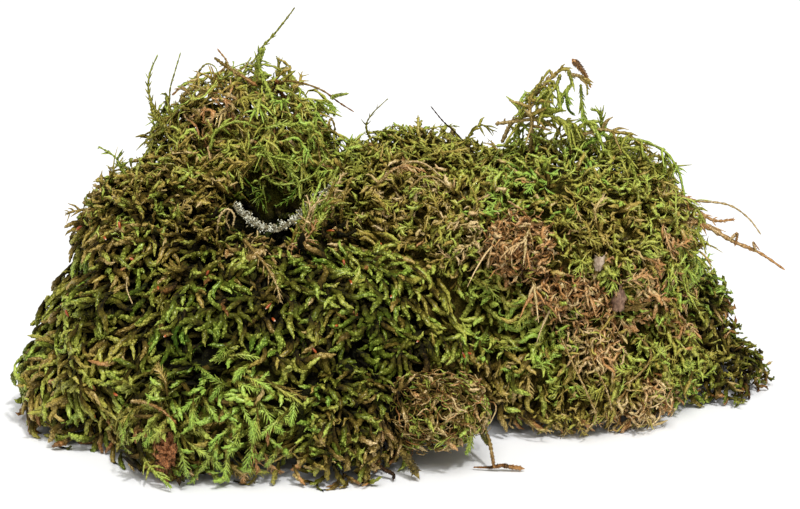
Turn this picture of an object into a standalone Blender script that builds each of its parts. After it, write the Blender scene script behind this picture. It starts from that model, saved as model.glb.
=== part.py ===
"""A clump of moss as it comes off the forest floor, lying on a surface.

A thatch of old dead stems and humus lies underneath. Cushions and tufts of live shoots stand on it,
and among them are withered patches, a crust of lichen, root fibres, scraps of litter and loose sprigs.
Each is one closed solid that reaches the tips of its shoots. +X runs along the clump, -Y is its front,
+Z is up, and the origin is the centre of the flat underside. Lengths below are in millimetres.
"""

import math
from dataclasses import dataclass

import bmesh
import bpy
from mathutils import Vector, noise

MM = 0.001

# Driving dimensions
GAP = 0.35                # between pieces that rest on each other
PAD_THICKNESS = 11.0      # the thatch underneath
SHOOT_WIDTH = 2.0         # a leafy shoot, from leaf tip to leaf tip
BULGE = 0.10              # how far a cushion's lumps swell, as a share of its radius
BULGE_PITCH = 2.9         # lumps along one radius
FULLNESS = 2.1           # exponent of a cushion's form: 2 is an ellipsoid, more is boxier
SHORTEST_EDGE = 0.2       # edges shorter than this are closed up after a cut
TUBE_SIDES = 6
POINTS_PER_SPAN = 2       # rings of a sprig's tube between two points of its route


@dataclass(frozen=True)
class Lump:
    """A rounded mass: its centre, its radii along x, y and z, and how finely it is faceted."""

    centre: tuple
    radii: tuple
    detail: int = 4


@dataclass(frozen=True)
class Cushion:
    """A mass of shoots that comes off the clump in one piece, made of lumps grown together."""

    name: str
    lumps: tuple
    colour: tuple
    over_hollow: bool = False


@dataclass(frozen=True)
class Sprig:
    """A single leafy or bare stem: the points of its route from the root, and its two radii."""

    name: str
    route: tuple
    root_radius: float
    tip_radius: float
    colour: tuple


LIVE_GREEN = (0.16, 0.22, 0.035)
FRESH_GREEN = (0.10, 0.24, 0.04)
OLIVE = (0.17, 0.17, 0.04)
PALE_GREEN = (0.28, 0.34, 0.10)
DEAD_BROWN = (0.22, 0.12, 0.06)
STRAW = (0.42, 0.29, 0.15)
HUMUS = (0.06, 0.035, 0.02)
LICHEN = (0.62, 0.64, 0.58)
ROOT_GREY = (0.20, 0.16, 0.12)
BARK = (0.26, 0.12, 0.06)
LEAF_LITTER = (0.36, 0.26, 0.19)

# The nest-like hollow at the foot of the crown
HOLLOW = Lump((-39, -4, 72), (17, 14, 30), detail=3)

# The thatch's outline on the surface that it lies on, anticlockwise from above
PAD_OUTLINE = (
    (-103, -8), (-84, -36), (-36, -55), (2, -48), (34, -32), (62, -19),
    (104, -4), (106, 34), (66, 60), (0, 66), (-62, 58), (-98, 30),
)

CUSHIONS = (
    Cushion("left_lobe", (Lump((-94, -12, 11), (29, 31, 24), detail=3),), LIVE_GREEN),
    Cushion("front_tuft", (Lump((-52, -48, 15), (33, 22, 23), detail=3),), FRESH_GREEN),
    Cushion("front_foot", (Lump((-19, -42, 10), (23, 27, 26), detail=3),), OLIVE),
    Cushion(
        "front_cushion",
        (
            Lump((-44, -1, 6), (75, 60, 60)),
            Lump((-72, 8, 46), (34, 34, 35), detail=3),
        ),
        LIVE_GREEN,
        over_hollow=True,
    ),
    Cushion(
        "right_shoulder",
        (
            Lump((54, 10, 46), (44, 40, 39), detail=3),
            Lump((48, 2, 14), (52, 37, 30), detail=3),
            Lump((4, 20, 56), (38, 26, 29), detail=3),
        ),
        FRESH_GREEN,
        over_hollow=True,
    ),
    Cushion(
        "right_lobe",
        (
            Lump((80, 24, 13), (34, 32, 31), detail=3),
            Lump((98, 15, 2), (26, 27, 15), detail=2),
        ),
        OLIVE,
    ),
    Cushion(
        "crown_tuft",
        (Lump((-51, 30, 76), (29, 22, 27), detail=3),),
        PALE_GREEN,
        over_hollow=True,
    ),
    Cushion(
        "back_cushion",
        (Lump((-4, 44, 28), (84, 34, 44), detail=3),),
        LIVE_GREEN,
        over_hollow=True,
    ),
)

PATCHES = (
    Cushion(
        "withered_patch",
        (
            Lump((39, -19, 59), (13, 12, 12), detail=2),
            Lump((53, -22, 46), (15, 11, 12), detail=2),
        ),
        DEAD_BROWN,
    ),
    Cushion(
        "straw_patch",
        (
            Lump((60, -24, 26), (11, 10, 13), detail=2),
            Lump((72, -20, 11), (16, 13, 12), detail=2),
        ),
        STRAW,
    ),
    Cushion("root_fibres", (Lump((11, -50, 18), (17, 13, 11), detail=2),), ROOT_GREY),
    Cushion("bark_nugget", (Lump((-70, -60, 9), (4, 6, 9), detail=2),), BARK),
    Cushion("litter_scale_upper", (Lump((61, -29, 58), (2.2, 7, 2.6), detail=2),), LEAF_LITTER),
    Cushion("litter_scale_lower", (Lump((68, -28, 46), (3.2, 7, 4.6), detail=2),), LEAF_LITTER),
)

SPRIGS = (
    Sprig(
        "arch_sprig",
        ((40, 14, 78), (36, 8, 90), (40, 6, 101), (49, 7, 106), (57, 8, 104), (60, 9, 98)),
        3.6, 1.3, PALE_GREEN,
    ),
    Sprig(
        "right_bow_sprig",
        ((62, 8, 78), (71, 6, 84), (82, 4, 82), (90, 2, 74), (95, 0, 64)),
        1.5, 0.8, LIVE_GREEN,
    ),
    Sprig(
        "dry_runner",
        ((90, 0, 63), (98, -4, 61), (106, -7, 57), (114, -9, 54), (122, -11, 49)),
        1.4, 0.6, STRAW,
    ),
    Sprig(
        "dry_branch",
        ((90, 4, 66), (98, 3, 67), (106, 2, 66), (112, 1, 62), (116, 0, 57)),
        0.9, 0.5, STRAW,
    ),
    Sprig(
        "twin_wisp_left",
        ((-72, 16, 80), (-76, 14, 90), (-80, 13, 98), (-80, 12, 106), (-77, 12, 113)),
        1.5, 0.45, LIVE_GREEN,
    ),
    Sprig(
        "twin_wisp_right",
        ((-70, 18, 80), (-74, 16, 91), (-74, 15, 100), (-72, 15, 107), (-70, 15, 113)),
        1.2, 0.45, LIVE_GREEN,
    ),
    Sprig(
        "crown_wisp",
        ((-48, 30, 94), (-47, 29, 105), (-43, 28, 112), (-38, 27, 118), (-35, 27, 125)),
        1.6, 0.4, PALE_GREEN,
    ),
    Sprig(
        "bowed_wisp",
        ((-44, 26, 95), (-37, 22, 101), (-29, 20, 101), (-22, 18, 98), (-15, 17, 93)),
        1.4, 0.45, OLIVE,
    ),
    Sprig(
        "shoulder_wisp",
        ((-84, 2, 72), (-88, 0, 78), (-90, -1, 83), (-95, -2, 87)),
        1.3, 0.5, LIVE_GREEN,
    ),
    Sprig(
        "ridge_wisp",
        ((-8, 20, 80), (-11, 19, 87), (-9, 18, 92), (-4, 18, 97)),
        1.2, 0.45, LIVE_GREEN,
    ),
    Sprig(
        "dark_thread",
        ((24, 18, 79), (18, 17, 86), (14, 16, 90), (10, 16, 95)),
        0.6, 0.4, ROOT_GREY,
    ),
    Sprig(
        "foot_twig",
        ((24, -46, 12), (28, -54, 8), (29, -58, 4.5), (31, -60, 1.4), (36, -61, 1.2)),
        1.2, 0.8, BARK,
    ),
    Sprig(
        "drooping_sprig",
        ((-4, -52, 12), (1, -58, 10), (5, -60, 6), (9, -60, 2.6)),
        1.8, 1.0, OLIVE,
    ),
)


def clear_scene():
    """Removes whatever the scene holds."""
    for obj in list(bpy.data.objects):
        bpy.data.objects.remove(obj, do_unlink=True)


def finish_of(name, colour, roughness=0.8):
    """A matt Principled material of that colour."""
    material = bpy.data.materials.new(name)
    material.use_nodes = True
    shader = material.node_tree.nodes["Principled BSDF"]
    shader.inputs["Base Color"].default_value = (*colour, 1.0)
    shader.inputs["Roughness"].default_value = roughness
    shader.inputs["Metallic"].default_value = 0.0
    return material


def object_from(bm, name):
    """An object that holds this bmesh, linked to the scene."""
    mesh = bpy.data.meshes.new(name)
    bm.to_mesh(mesh)
    bm.free()
    obj = bpy.data.objects.new(name, mesh)
    bpy.context.scene.collection.objects.link(obj)
    return obj


def reach_of(lump, way, bulge=BULGE):
    """How far a lump's surface lies that way, as a share of its radii."""
    form = sum(abs(part) ** FULLNESS for part in way) ** (-1 / FULLNESS)
    return form * (1 + bulge * noise.noise(way * BULGE_PITCH + Vector(lump.centre) * 0.37))


def rounded_mass(lump, name, bulge=BULGE, spare=0.0):
    """A lump as an object: a superellipsoid whose surface swells and sinks, or one a little over."""
    bm = bmesh.new()
    bmesh.ops.create_icosphere(bm, subdivisions=lump.detail, radius=1.0)
    for vertex in bm.verts:
        way = vertex.co.normalized()
        at = way * reach_of(lump, way, bulge)
        vertex.co = Vector(c + p * (r + spare) for c, p, r in zip(lump.centre, at, lump.radii)) * MM
    return object_from(bm, name)


def height_over(lump, x, y):
    """The height of a lump's upper surface over that point."""
    z = lump.centre[2] + 1.2 * lump.radii[2]
    while z > 0:
        at = Vector((p - c) / r for p, c, r in zip((x, y, z), lump.centre, lump.radii))
        if at.length < reach_of(lump, at.normalized()):
            break
        z -= 0.25
    return z


def apply_boolean(obj, other, operation):
    """Joins or cuts obj with the other object."""
    modifier = obj.modifiers.new(operation.title(), "BOOLEAN")
    modifier.operation = operation
    modifier.solver = "EXACT"
    modifier.object = other
    graph = bpy.context.evaluated_depsgraph_get()
    made = bpy.data.meshes.new_from_object(obj.evaluated_get(graph), depsgraph=graph)
    obj.modifiers.remove(modifier)
    obj.data = made


def cut_at_floor(obj):
    """Takes off what lies below z = 0 and closes the cut with one flat face."""
    bm = bmesh.new()
    bm.from_mesh(obj.data)
    everything = [*bm.verts, *bm.edges, *bm.faces]
    cut = bmesh.ops.bisect_plane(
        bm, geom=everything, plane_co=(0, 0, 0), plane_no=(0, 0, 1), clear_inner=True
    )
    rim = [item for item in cut["geom_cut"] if isinstance(item, bmesh.types.BMEdge)]
    if rim:
        bmesh.ops.holes_fill(bm, edges=rim, sides=0)
        bmesh.ops.recalc_face_normals(bm, faces=bm.faces)
    bm.to_mesh(obj.data)
    bm.free()


def grown_copy(obj, distance):
    """A copy of the object whose surface stands that far outside it."""
    bm = bmesh.new()
    bm.from_mesh(obj.data)
    bm.normal_update()
    steps = [(vertex, vertex.normal.copy()) for vertex in bm.verts]
    for vertex, normal in steps:
        vertex.co += normal * distance * MM
    return object_from(bm, obj.name + "_room")


def keep_largest_body(obj):
    """Deletes the small crumbs that a cut can leave beside the main body."""
    bm = bmesh.new()
    bm.from_mesh(obj.data)
    left = set(bm.verts)
    bodies = []
    while left:
        front = [left.pop()]
        body = set(front)
        while front:
            near = {edge.other_vert(v) for v in front for edge in v.link_edges}
            front = list(near - body)
            body |= near
        left -= body
        bodies.append(body)
    bodies.sort(key=span_of)
    crumbs = [vertex for body in bodies[:-1] for vertex in body]
    bmesh.ops.delete(bm, geom=crumbs, context="VERTS")
    bmesh.ops.dissolve_degenerate(bm, dist=SHORTEST_EDGE * MM, edges=bm.edges)
    flat_enough = math.radians(1.5)
    bmesh.ops.dissolve_limit(bm, angle_limit=flat_enough, verts=bm.verts, edges=bm.edges)
    bmesh.ops.triangulate(bm, faces=bm.faces)
    bm.to_mesh(obj.data)
    bm.free()


def box_of(points):
    """The least and the greatest of the points along x, y and z."""
    return [(min(p[i] for p in points), max(p[i] for p in points)) for i in range(3)]


def span_of(vertices):
    """The diagonal of the box round these vertices."""
    return Vector(high - low for low, high in box_of([vertex.co for vertex in vertices])).length


def boxes_meet(one, other):
    """True if the two objects' boxes overlap."""
    boxes = [box_of([vertex.co for vertex in obj.data.vertices]) for obj in (one, other)]
    return all(a[0] <= b[1] and b[0] <= a[1] for a, b in zip(*boxes))


def fit_round(obj, rooms):
    """Cuts the object back from the room that its neighbours take up."""
    for room in rooms:
        if boxes_meet(obj, room):
            apply_boolean(obj, room, "DIFFERENCE")
    keep_largest_body(obj)


def dress(obj, colour):
    """Gives the piece its material and smooth shading."""
    obj.data.materials.clear()
    obj.data.materials.append(finish_of(obj.name + "_finish", colour))
    obj.data.shade_smooth()


def thatch_pad():
    """The pad of old stems: its outline, smoothed, narrowing a little towards the top."""
    count = len(PAD_OUTLINE)
    steps = 3
    rim = []
    for i in range(count):
        before, start, end, after = (Vector(PAD_OUTLINE[(i + k) % count]) for k in (-1, 0, 1, 2))
        rim += [spline_point(before, start, end, after, step / steps) for step in range(steps)]
    bm = bmesh.new()
    levels = ((0.0, 1.0), (0.35, 1.01), (0.8, 0.975), (1.0, 0.93))
    rings = [
        [bm.verts.new((x * share * MM, y * share * MM, height * PAD_THICKNESS * MM)) for x, y in rim]
        for height, share in levels
    ]
    for low, high in zip(rings, rings[1:]):
        for i in range(len(rim)):
            j = (i + 1) % len(rim)
            bm.faces.new((low[i], low[j], high[j], high[i]))
    bm.faces.new(reversed(rings[0]))
    bm.faces.new(rings[-1])
    return object_from(bm, "thatch_pad")


def spline_point(before, start, end, after, t):
    """The point at t between start and end on a Catmull-Rom curve through the four points."""
    return 0.5 * (
        2 * start
        + (end - before) * t
        + (2 * before - 5 * start + 4 * end - after) * t**2
        + (3 * start - before - 3 * end + after) * t**3
    )


def cushion(shape, rooms):
    """A cushion or a patch: its lumps joined, hollowed, cut at the floor and fitted round others."""
    whole = rounded_mass(shape.lumps[0], shape.name)
    for i, lump in enumerate(shape.lumps[1:], 1):
        addition = rounded_mass(lump, f"{shape.name}_lump_{i}")
        apply_boolean(whole, addition, "UNION")
        bpy.data.objects.remove(addition, do_unlink=True)
    if shape.over_hollow:
        hollow = rounded_mass(HOLLOW, "hollow", bulge=0.0)
        apply_boolean(whole, hollow, "DIFFERENCE")
        bpy.data.objects.remove(hollow, do_unlink=True)
    cut_at_floor(whole)
    fit_round(whole, rooms)
    dress(whole, shape.colour)
    return [rounded_mass(lump, shape.name + "_room", spare=GAP) for lump in shape.lumps]


def lichen_crust():
    """The crust along the front lip of the hollow: a fat bead that follows most of its mouth."""
    x, y, _ = HOLLOW.centre
    front = next(shape for shape in CUSHIONS if shape.name == "front_cushion")
    route = []
    for degrees in range(-80, 81, 16):
        angle = math.radians(degrees)
        px = x + HOLLOW.radii[0] * math.sin(angle)
        py = y - HOLLOW.radii[1] * math.cos(angle)
        route.append((px, py, height_over(front.lumps[0], px, py) - 0.6))
    return Sprig("lichen_crust", tuple(route), 3.2, 3.0, LICHEN)


def sprig(shape, rooms):
    """A stem: a tapering tube along a smooth curve through its route, cut off at the cushions."""
    route = [Vector(point) for point in shape.route]
    ends = [2 * route[0] - route[1], *route, 2 * route[-1] - route[-2]]
    points = [
        spline_point(*ends[i:i + 4], step / POINTS_PER_SPAN)
        for i in range(len(route) - 1)
        for step in range(POINTS_PER_SPAN)
    ] + [route[-1]]
    line = bpy.data.curves.new(shape.name + "_line", "CURVE")
    line.dimensions = "3D"
    line.bevel_depth = MM
    line.bevel_resolution = TUBE_SIDES // 2 - 2
    line.use_fill_caps = True
    spline = line.splines.new("POLY")
    spline.points.add(len(points) - 1)
    for i, point in enumerate(points):
        share = i / (len(points) - 1)
        spline.points[i].co = (*(point * MM), 1.0)
        spline.points[i].radius = shape.root_radius + (shape.tip_radius - shape.root_radius) * share
    guide = bpy.data.objects.new(shape.name + "_guide", line)
    bpy.context.scene.collection.objects.link(guide)
    graph = bpy.context.evaluated_depsgraph_get()
    mesh = bpy.data.meshes.new_from_object(guide.evaluated_get(graph), depsgraph=graph)
    bpy.data.objects.remove(guide, do_unlink=True)
    bm = bmesh.new()
    bm.from_mesh(mesh)
    bmesh.ops.remove_doubles(bm, verts=bm.verts, dist=0.01 * MM)
    bmesh.ops.recalc_face_normals(bm, faces=bm.faces)
    stem = object_from(bm, shape.name)
    room = grown_copy(stem, GAP)
    cut_at_floor(stem)
    fit_round(stem, rooms)
    dress(stem, shape.colour)
    return [room]


def main():
    """Builds the clump, each piece fitted round those already there, then removes the helpers."""
    clear_scene()
    pad = thatch_pad()
    dress(pad, HUMUS)
    rooms = [grown_copy(pad, GAP)]
    rooms += sprig(lichen_crust(), rooms)
    for shape in (*PATCHES, *CUSHIONS):
        rooms += cushion(shape, rooms)
    for shape in SPRIGS:
        rooms += sprig(shape, rooms)
    for room in rooms:
        bpy.data.objects.remove(room, do_unlink=True)


main()
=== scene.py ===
"""The looks of a clump of woodland moss that lies as it was gathered.

Every shoot is a closed tube carried along a curved path, with its leaves as scales that stand out from
it. Shoots root inside the clump's solids and reach to their surface, over a felt of old stems that is
dark in its own colour and darker still with painted shade.
Lengths are in metres, +X runs along the clump, -Y is its front and +Z is up.
"""

import logging
import math
from collections.abc import Callable
from dataclasses import dataclass
from enum import Enum

import bmesh
import bpy
import numpy as np
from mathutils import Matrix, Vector
from mathutils.bvhtree import BVHTree


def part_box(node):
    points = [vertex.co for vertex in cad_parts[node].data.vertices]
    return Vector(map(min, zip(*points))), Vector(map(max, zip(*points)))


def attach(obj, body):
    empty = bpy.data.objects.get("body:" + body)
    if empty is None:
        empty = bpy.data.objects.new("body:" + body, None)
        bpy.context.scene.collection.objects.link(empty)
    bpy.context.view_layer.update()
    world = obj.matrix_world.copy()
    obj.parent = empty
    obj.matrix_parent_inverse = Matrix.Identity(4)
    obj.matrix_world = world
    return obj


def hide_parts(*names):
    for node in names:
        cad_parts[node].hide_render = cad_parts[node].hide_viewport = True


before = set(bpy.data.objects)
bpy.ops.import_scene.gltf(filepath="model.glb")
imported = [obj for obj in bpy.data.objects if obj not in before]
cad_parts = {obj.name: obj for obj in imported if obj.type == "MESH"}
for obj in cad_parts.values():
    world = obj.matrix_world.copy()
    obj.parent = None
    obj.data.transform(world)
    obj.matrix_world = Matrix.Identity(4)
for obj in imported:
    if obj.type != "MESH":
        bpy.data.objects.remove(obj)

MM = 0.001
NEAR_FLOOR = 1 * MM
FLOOR_GAP = 0.3 * MM
DOWN = np.array([0.0, 0.0, -1.0])
PALETTE_MAP = "OFBake"
LOG = logging.getLogger("moss clump")

Array = np.ndarray
Colour = tuple[float, float, float]
Span = tuple[float, float]


# -------- Numbers over space --------


def mm(*sizes: float) -> tuple[float, ...]:
    """Sizes given in millimetres, in metres."""
    return tuple(size * MM for size in sizes)


def unit(vectors: Array) -> Array:
    """The same directions at length one; the last axis is x, y, z."""
    return vectors / np.maximum(np.linalg.norm(vectors, axis=-1, keepdims=True), 1e-12)


@dataclass(frozen=True)
class Drift:
    """A number that wanders smoothly over space: a sum of plane waves with random ways and phases.

    Its mean is 0 and its spread about 1.
    """

    wavelength: float
    seed: int
    waves: int = 14

    def at(self, points: Array) -> Array:
        """The number at each point.

        Args:
            points: places, one a row.

        Returns:
            One number for each.
        """
        rng = np.random.default_rng(self.seed)
        pitch = 2 * np.pi / self.wavelength * rng.uniform(0.6, 1.5, (self.waves, 1))
        ways = unit(rng.normal(size=(self.waves, 3))) * pitch
        phases = rng.uniform(0, 2 * np.pi, self.waves)
        return np.sin(points @ ways.T + phases).sum(-1) * math.sqrt(2 / self.waves)


def smooth_step(values: Array, low: float, high: float) -> Array:
    """0 up to low, 1 from high, and between them 3 s squared less 2 s cubed, s being the share of the way."""
    share = np.clip((values - low) / (high - low), 0, 1)
    return share * share * (3 - 2 * share)


def away_from(points: Array, centre: tuple, radius: float) -> Array:
    """How far each point is from a centre, in radii; the centre and the radius are in millimetres."""
    return np.linalg.norm(points - np.array(centre) * MM, axis=1) / (radius * MM)


# -------- Shader maths --------


class Socket:
    """A node's output, with Python's operators standing for Math nodes."""

    def __init__(self, nodes: "Nodes", link: bpy.types.NodeSocket) -> None:
        """Wraps one output socket of a node tree."""
        self.nodes = nodes
        self.link = link

    def _maths(self, operation: str, *values: "Socket | float") -> "Socket":
        """A Math node with that operation on those values."""
        return self.nodes.add("ShaderNodeMath", {"operation": operation}, dict(enumerate(values)))

    def __add__(self, other: "Socket | float") -> "Socket":
        """The sum."""
        return self._maths("ADD", self, other)

    __radd__ = __add__

    def __sub__(self, other: "Socket | float") -> "Socket":
        """The difference."""
        return self._maths("SUBTRACT", self, other)

    def __rsub__(self, other: float) -> "Socket":
        """The difference, the other way round."""
        return self._maths("SUBTRACT", other, self)

    def __mul__(self, other: "Socket | float") -> "Socket":
        """The product."""
        return self._maths("MULTIPLY", self, other)

    __rmul__ = __mul__

    def clamped(self, low: float, high: float) -> "Socket":
        """0 up to low, 1 from high, and straight between.

        Args:
            low: where it leaves 0.
            high: where it reaches 1.

        Returns:
            The new value.
        """
        settings = {"clamp": True}
        values = {"Value": self, "From Min": low, "From Max": high}
        return self.nodes.add("ShaderNodeMapRange", settings, values)


class Nodes:
    """A new material's node tree, with one way to add a node."""

    def __init__(self, name: str) -> None:
        """Makes the material, with its Principled shader.

        Args:
            name: the material's name.
        """
        self.material = bpy.data.materials.new(name)
        self.material.use_nodes = True
        self.tree = self.material.node_tree
        self.shader = self.tree.nodes["Principled BSDF"]

    def add(self, kind: str, settings: dict, values: dict, output: int | str = 0) -> Socket:
        """Adds a node.

        Args:
            kind: the node's type.
            settings: what is set on the node itself; "stops" is a ramp's list of place and colour.
            values: number, colour or Socket for each input, by its name or its place.
            output: which output to give back.

        Returns:
            That output.
        """
        node = self.tree.nodes.new(kind)
        for key, value in settings.items():
            if key == "stops":
                self._set_stops(node.color_ramp, value)
            else:
                setattr(node, key, value)
        for key, value in values.items():
            self.put(node.inputs[key], value)
        return Socket(self, node.outputs[output])

    def _set_stops(self, ramp: bpy.types.ColorRamp, stops: list[tuple[float, Colour]]) -> None:
        """Gives a ramp these stops in place of its own.

        Args:
            ramp: the ramp.
            stops: each stop's place and colour, from 0 to 1.
        """
        while len(ramp.elements) > 1:
            ramp.elements.remove(ramp.elements[-1])
        ramp.elements[0].position = stops[0][0]
        ramp.elements[0].color = (*stops[0][1], 1.0)
        for place, colour in stops[1:]:
            ramp.elements.new(place).color = (*colour, 1.0)

    def put(self, socket: bpy.types.NodeSocket, value: "Socket | float | tuple") -> None:
        """Links a Socket, or sets a plain value.

        Args:
            socket: the input.
            value: what it gets.
        """
        if isinstance(value, Socket):
            self.tree.links.new(value.link, socket)
        else:
            socket.default_value = value

    def mix(self, share: "Socket | float", first: Socket | tuple, second: Socket | tuple) -> Socket:
        """Two colours mixed; share is how much of the second there is."""
        settings = {"data_type": "RGBA", "clamp_factor": True}
        return self.add("ShaderNodeMix", settings, {0: share, 6: first, 7: second}, output=2)

    def place(self) -> Socket:
        """Object coordinates."""
        return self.add("ShaderNodeTexCoord", {}, {}, output="Object")

    def noise(self, size: float, detail: float = 2.0) -> Socket:
        """Noise whose lumps are about that big."""
        values = {"Vector": self.place(), "Scale": 1 / size, "Detail": detail}
        return self.add("ShaderNodeTexNoise", {}, values, output="Fac")

    def bump(self, height: Socket, strength: float, distance: float) -> None:
        """Lets the height stand out of the surface."""
        values = {"Strength": strength, "Distance": distance, "Height": height}
        self.put(self.shader.inputs["Normal"], self.add("ShaderNodeBump", {}, values))

    def set(self, **values: "Socket | float | tuple") -> None:
        """Sets the shader's sockets, named with an underscore for each space."""
        for key, value in values.items():
            self.put(self.shader.inputs[key.replace("_", " ")], value)


def from_screen(red: int, green: int, blue: int) -> Colour:
    """A colour given as screen values of 0 to 255, made linear.

    Args:
        red: its red value.
        green: its green value.
        blue: its blue value.

    Returns:
        The linear colour.
    """
    shares = np.array([red, green, blue]) / 255
    linear = np.where(shares > 0.04045, ((shares + 0.055) / 1.055) ** 2.4, shares / 12.92)
    return tuple(float(part) for part in linear)


class Tone(float, Enum):
    """The hues of living and dead moss, each with its place along the palette."""

    HUMUS = 0.04
    DEAD = 0.17
    STRAW = 0.30
    OLIVE_BROWN = 0.43
    OLIVE = 0.55
    YELLOW_GREEN = 0.67
    FRESH = 0.80
    EMERALD = 0.93


@dataclass(frozen=True)
class MossFinish:
    """Moss of every tone in one finish.

    The palette map's second number picks the tone, and its first the brightness, which is painted light
    and shade: 0 in painted shade at a shoot's root, 1 at its palest leaf tip.
    """

    name: str = "moss"
    shine: float = 0.6
    # sparkle: painted highlight at the middles of the leaf cells
    painted_sparkle: float = 0.6
    shades: tuple = (
        (Tone.HUMUS, (14, 9, 4), (58, 38, 17), (112, 82, 44)),
        (Tone.DEAD, (24, 14, 5), (128, 82, 36), (206, 152, 90)),
        (Tone.STRAW, (28, 19, 7), (140, 114, 56), (228, 202, 148)),
        (Tone.OLIVE_BROWN, (17, 12, 3), (98, 80, 22), (186, 160, 76)),
        (Tone.OLIVE, (13, 13, 3), (92, 90, 18), (184, 178, 76)),
        (Tone.YELLOW_GREEN, (9, 13, 3), (90, 102, 18), (188, 200, 86)),
        (Tone.FRESH, (7, 13, 3), (78, 104, 18), (174, 202, 82)),
        (Tone.EMERALD, (8, 15, 3), (70, 106, 20), (160, 194, 78)),
    )
    leaf: float = 0.62 * MM
    leaf_depth: float = 0.5

    def material(self) -> bpy.types.Material:
        """Three ramps over the tone, for dark, middle and pale, mixed by the brightness.

        Returns:
            The material.
        """
        nodes = Nodes(self.name)
        where = nodes.add("ShaderNodeUVMap", {"uv_map": PALETTE_MAP}, {})
        bright = nodes.add("ShaderNodeSeparateXYZ", {}, {"Vector": where}, output="X")
        tone = nodes.add("ShaderNodeSeparateXYZ", {}, {"Vector": where}, output="Y")
        dark, middle, pale = (
            nodes.add(
                "ShaderNodeValToRGB",
                {"stops": [(row[0], from_screen(*row[level])) for row in self.shades]},
                {"Fac": tone},
            )
            for level in (1, 2, 3)
        )
        cells = {"Vector": nodes.place(), "Scale": 1 / self.leaf}
        leaves = 1 - nodes.add("ShaderNodeTexVoronoi", {}, cells, output="Distance")
        # Painted highlight and shade on the leaves: each leaf cell is painted lighter at its middle and
        # darker at its edge, and the middles of lit cells get a painted sparkle.
        painted_sparkle = leaves.clamped(0.72, 0.95) * self.painted_sparkle * bright
        bright = bright + (leaves - 0.58) * self.leaf_depth * (0.35 + bright) + painted_sparkle
        colour = nodes.mix(bright.clamped(0.0, 0.55), dark, middle)
        colour = nodes.mix(bright.clamped(0.55, 1.0), colour, pale)
        gloss = bright.clamped(0.3, 0.9) * self.shine
        nodes.set(Base_Color=colour, Roughness=0.8, Specular_IOR_Level=0.12)
        nodes.set(Coat_Weight=gloss, Coat_Roughness=0.28)
        nodes.bump(leaves, 0.65, 0.35 * MM)
        return nodes.material


@dataclass(frozen=True)
class LichenFinish:
    """The grey-white crust: chalky, with a breath of green, and darker where it is thin."""

    name: str = "lichen"
    chalk: Colour = from_screen(246, 246, 224)
    thin: Colour = from_screen(140, 130, 94)

    def material(self) -> bpy.types.Material:
        """Chalk and thin crust in crumbs.

        Returns:
            The material.
        """
        nodes = Nodes(self.name)
        crumbs = nodes.noise(1.1 * MM, 5.0)
        colour = nodes.mix(crumbs.clamped(0.45, 0.6), (*self.thin, 1), (*self.chalk, 1))
        nodes.set(Base_Color=colour, Roughness=0.9)
        nodes.bump(crumbs, 0.9, 0.6 * MM)
        return nodes.material


@dataclass(frozen=True)
class ScrapFinish:
    """A dry scrap of leaf, bark or capsule: two colours in streaks or crumbs."""

    name: str
    first: Colour
    second: Colour
    grain: float
    roughness: float = 0.7

    def material(self) -> bpy.types.Material:
        """The two colours mixed by a noise of that grain, which also roughens it.

        Returns:
            The material.
        """
        nodes = Nodes(self.name)
        grain = nodes.noise(self.grain, 4.0)
        colour = nodes.mix(grain.clamped(0.4, 0.62), (*self.first, 1), (*self.second, 1))
        nodes.set(Base_Color=colour, Roughness=self.roughness)
        nodes.bump(grain, 0.6, 0.3 * self.grain)
        return nodes.material


@dataclass(frozen=True)
class FloorFinish:
    """The plain pale floor."""

    name: str = "pale floor"
    shade: float = 0.86

    def material(self) -> bpy.types.Material:
        """One pale colour with the faintest cloud in its gloss.

        Returns:
            The material.
        """
        nodes = Nodes(self.name)
        cloud = nodes.noise(60 * MM)
        nodes.set(Base_Color=(self.shade, self.shade, self.shade, 1), Roughness=0.7 + cloud * 0.1)
        return nodes.material


# -------- Meshes --------


def put_mesh(name: str, points: Array, triangles: Array, palette: Array | None) -> bpy.types.Object:
    """Makes an object from whole arrays.

    Args:
        name: the piece's name.
        points: its vertices, one a row.
        triangles: three vertex numbers a row.
        palette: the palette map's pair for each vertex, if it has one.

    Returns:
        The object, linked to the scene.
    """
    mesh = bpy.data.meshes.new(name)
    mesh.vertices.add(len(points))
    mesh.vertices.foreach_set("co", np.ascontiguousarray(points, np.float32).ravel())
    mesh.loops.add(triangles.size)
    mesh.loops.foreach_set("vertex_index", np.ascontiguousarray(triangles, np.int32).ravel())
    mesh.polygons.add(len(triangles))
    mesh.polygons.foreach_set("loop_start", np.arange(0, triangles.size, 3, dtype=np.int32))
    mesh.update(calc_edges=True)
    if palette is not None:
        layer = mesh.uv_layers.new(name=PALETTE_MAP)
        layer.data.foreach_set("uv", palette[triangles].astype(np.float32).ravel())
    mesh.validate()
    piece = bpy.data.objects.new(name, mesh)
    bpy.context.scene.collection.objects.link(piece)
    return piece


def arrays_of(mesh: bpy.types.Mesh) -> tuple[Array, Array]:
    """A mesh as arrays.

    Args:
        mesh: the mesh.

    Returns:
        Its vertices and its triangles.
    """
    mesh.calc_loop_triangles()
    points = np.empty(len(mesh.vertices) * 3, np.float32)
    mesh.vertices.foreach_get("co", points)
    triangles = np.empty(len(mesh.loop_triangles) * 3, np.int32)
    mesh.loop_triangles.foreach_get("vertices", triangles)
    return points.reshape(-1, 3).astype(float), triangles.reshape(-1, 3)


def joined(parts: list[tuple[Array, ...]]) -> tuple[Array, ...]:
    """Several meshes as one.

    Args:
        parts: each mesh's vertices, its triangles, and anything else that goes with its vertices.

    Returns:
        The same, for the whole.
    """
    points, triangles, *more = zip(*parts)
    starts = np.cumsum([0] + [len(part) for part in points])
    moved = [faces + start for faces, start in zip(triangles, starts)]
    return (np.concatenate(points), np.concatenate(moved), *(np.concatenate(each) for each in more))


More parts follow.
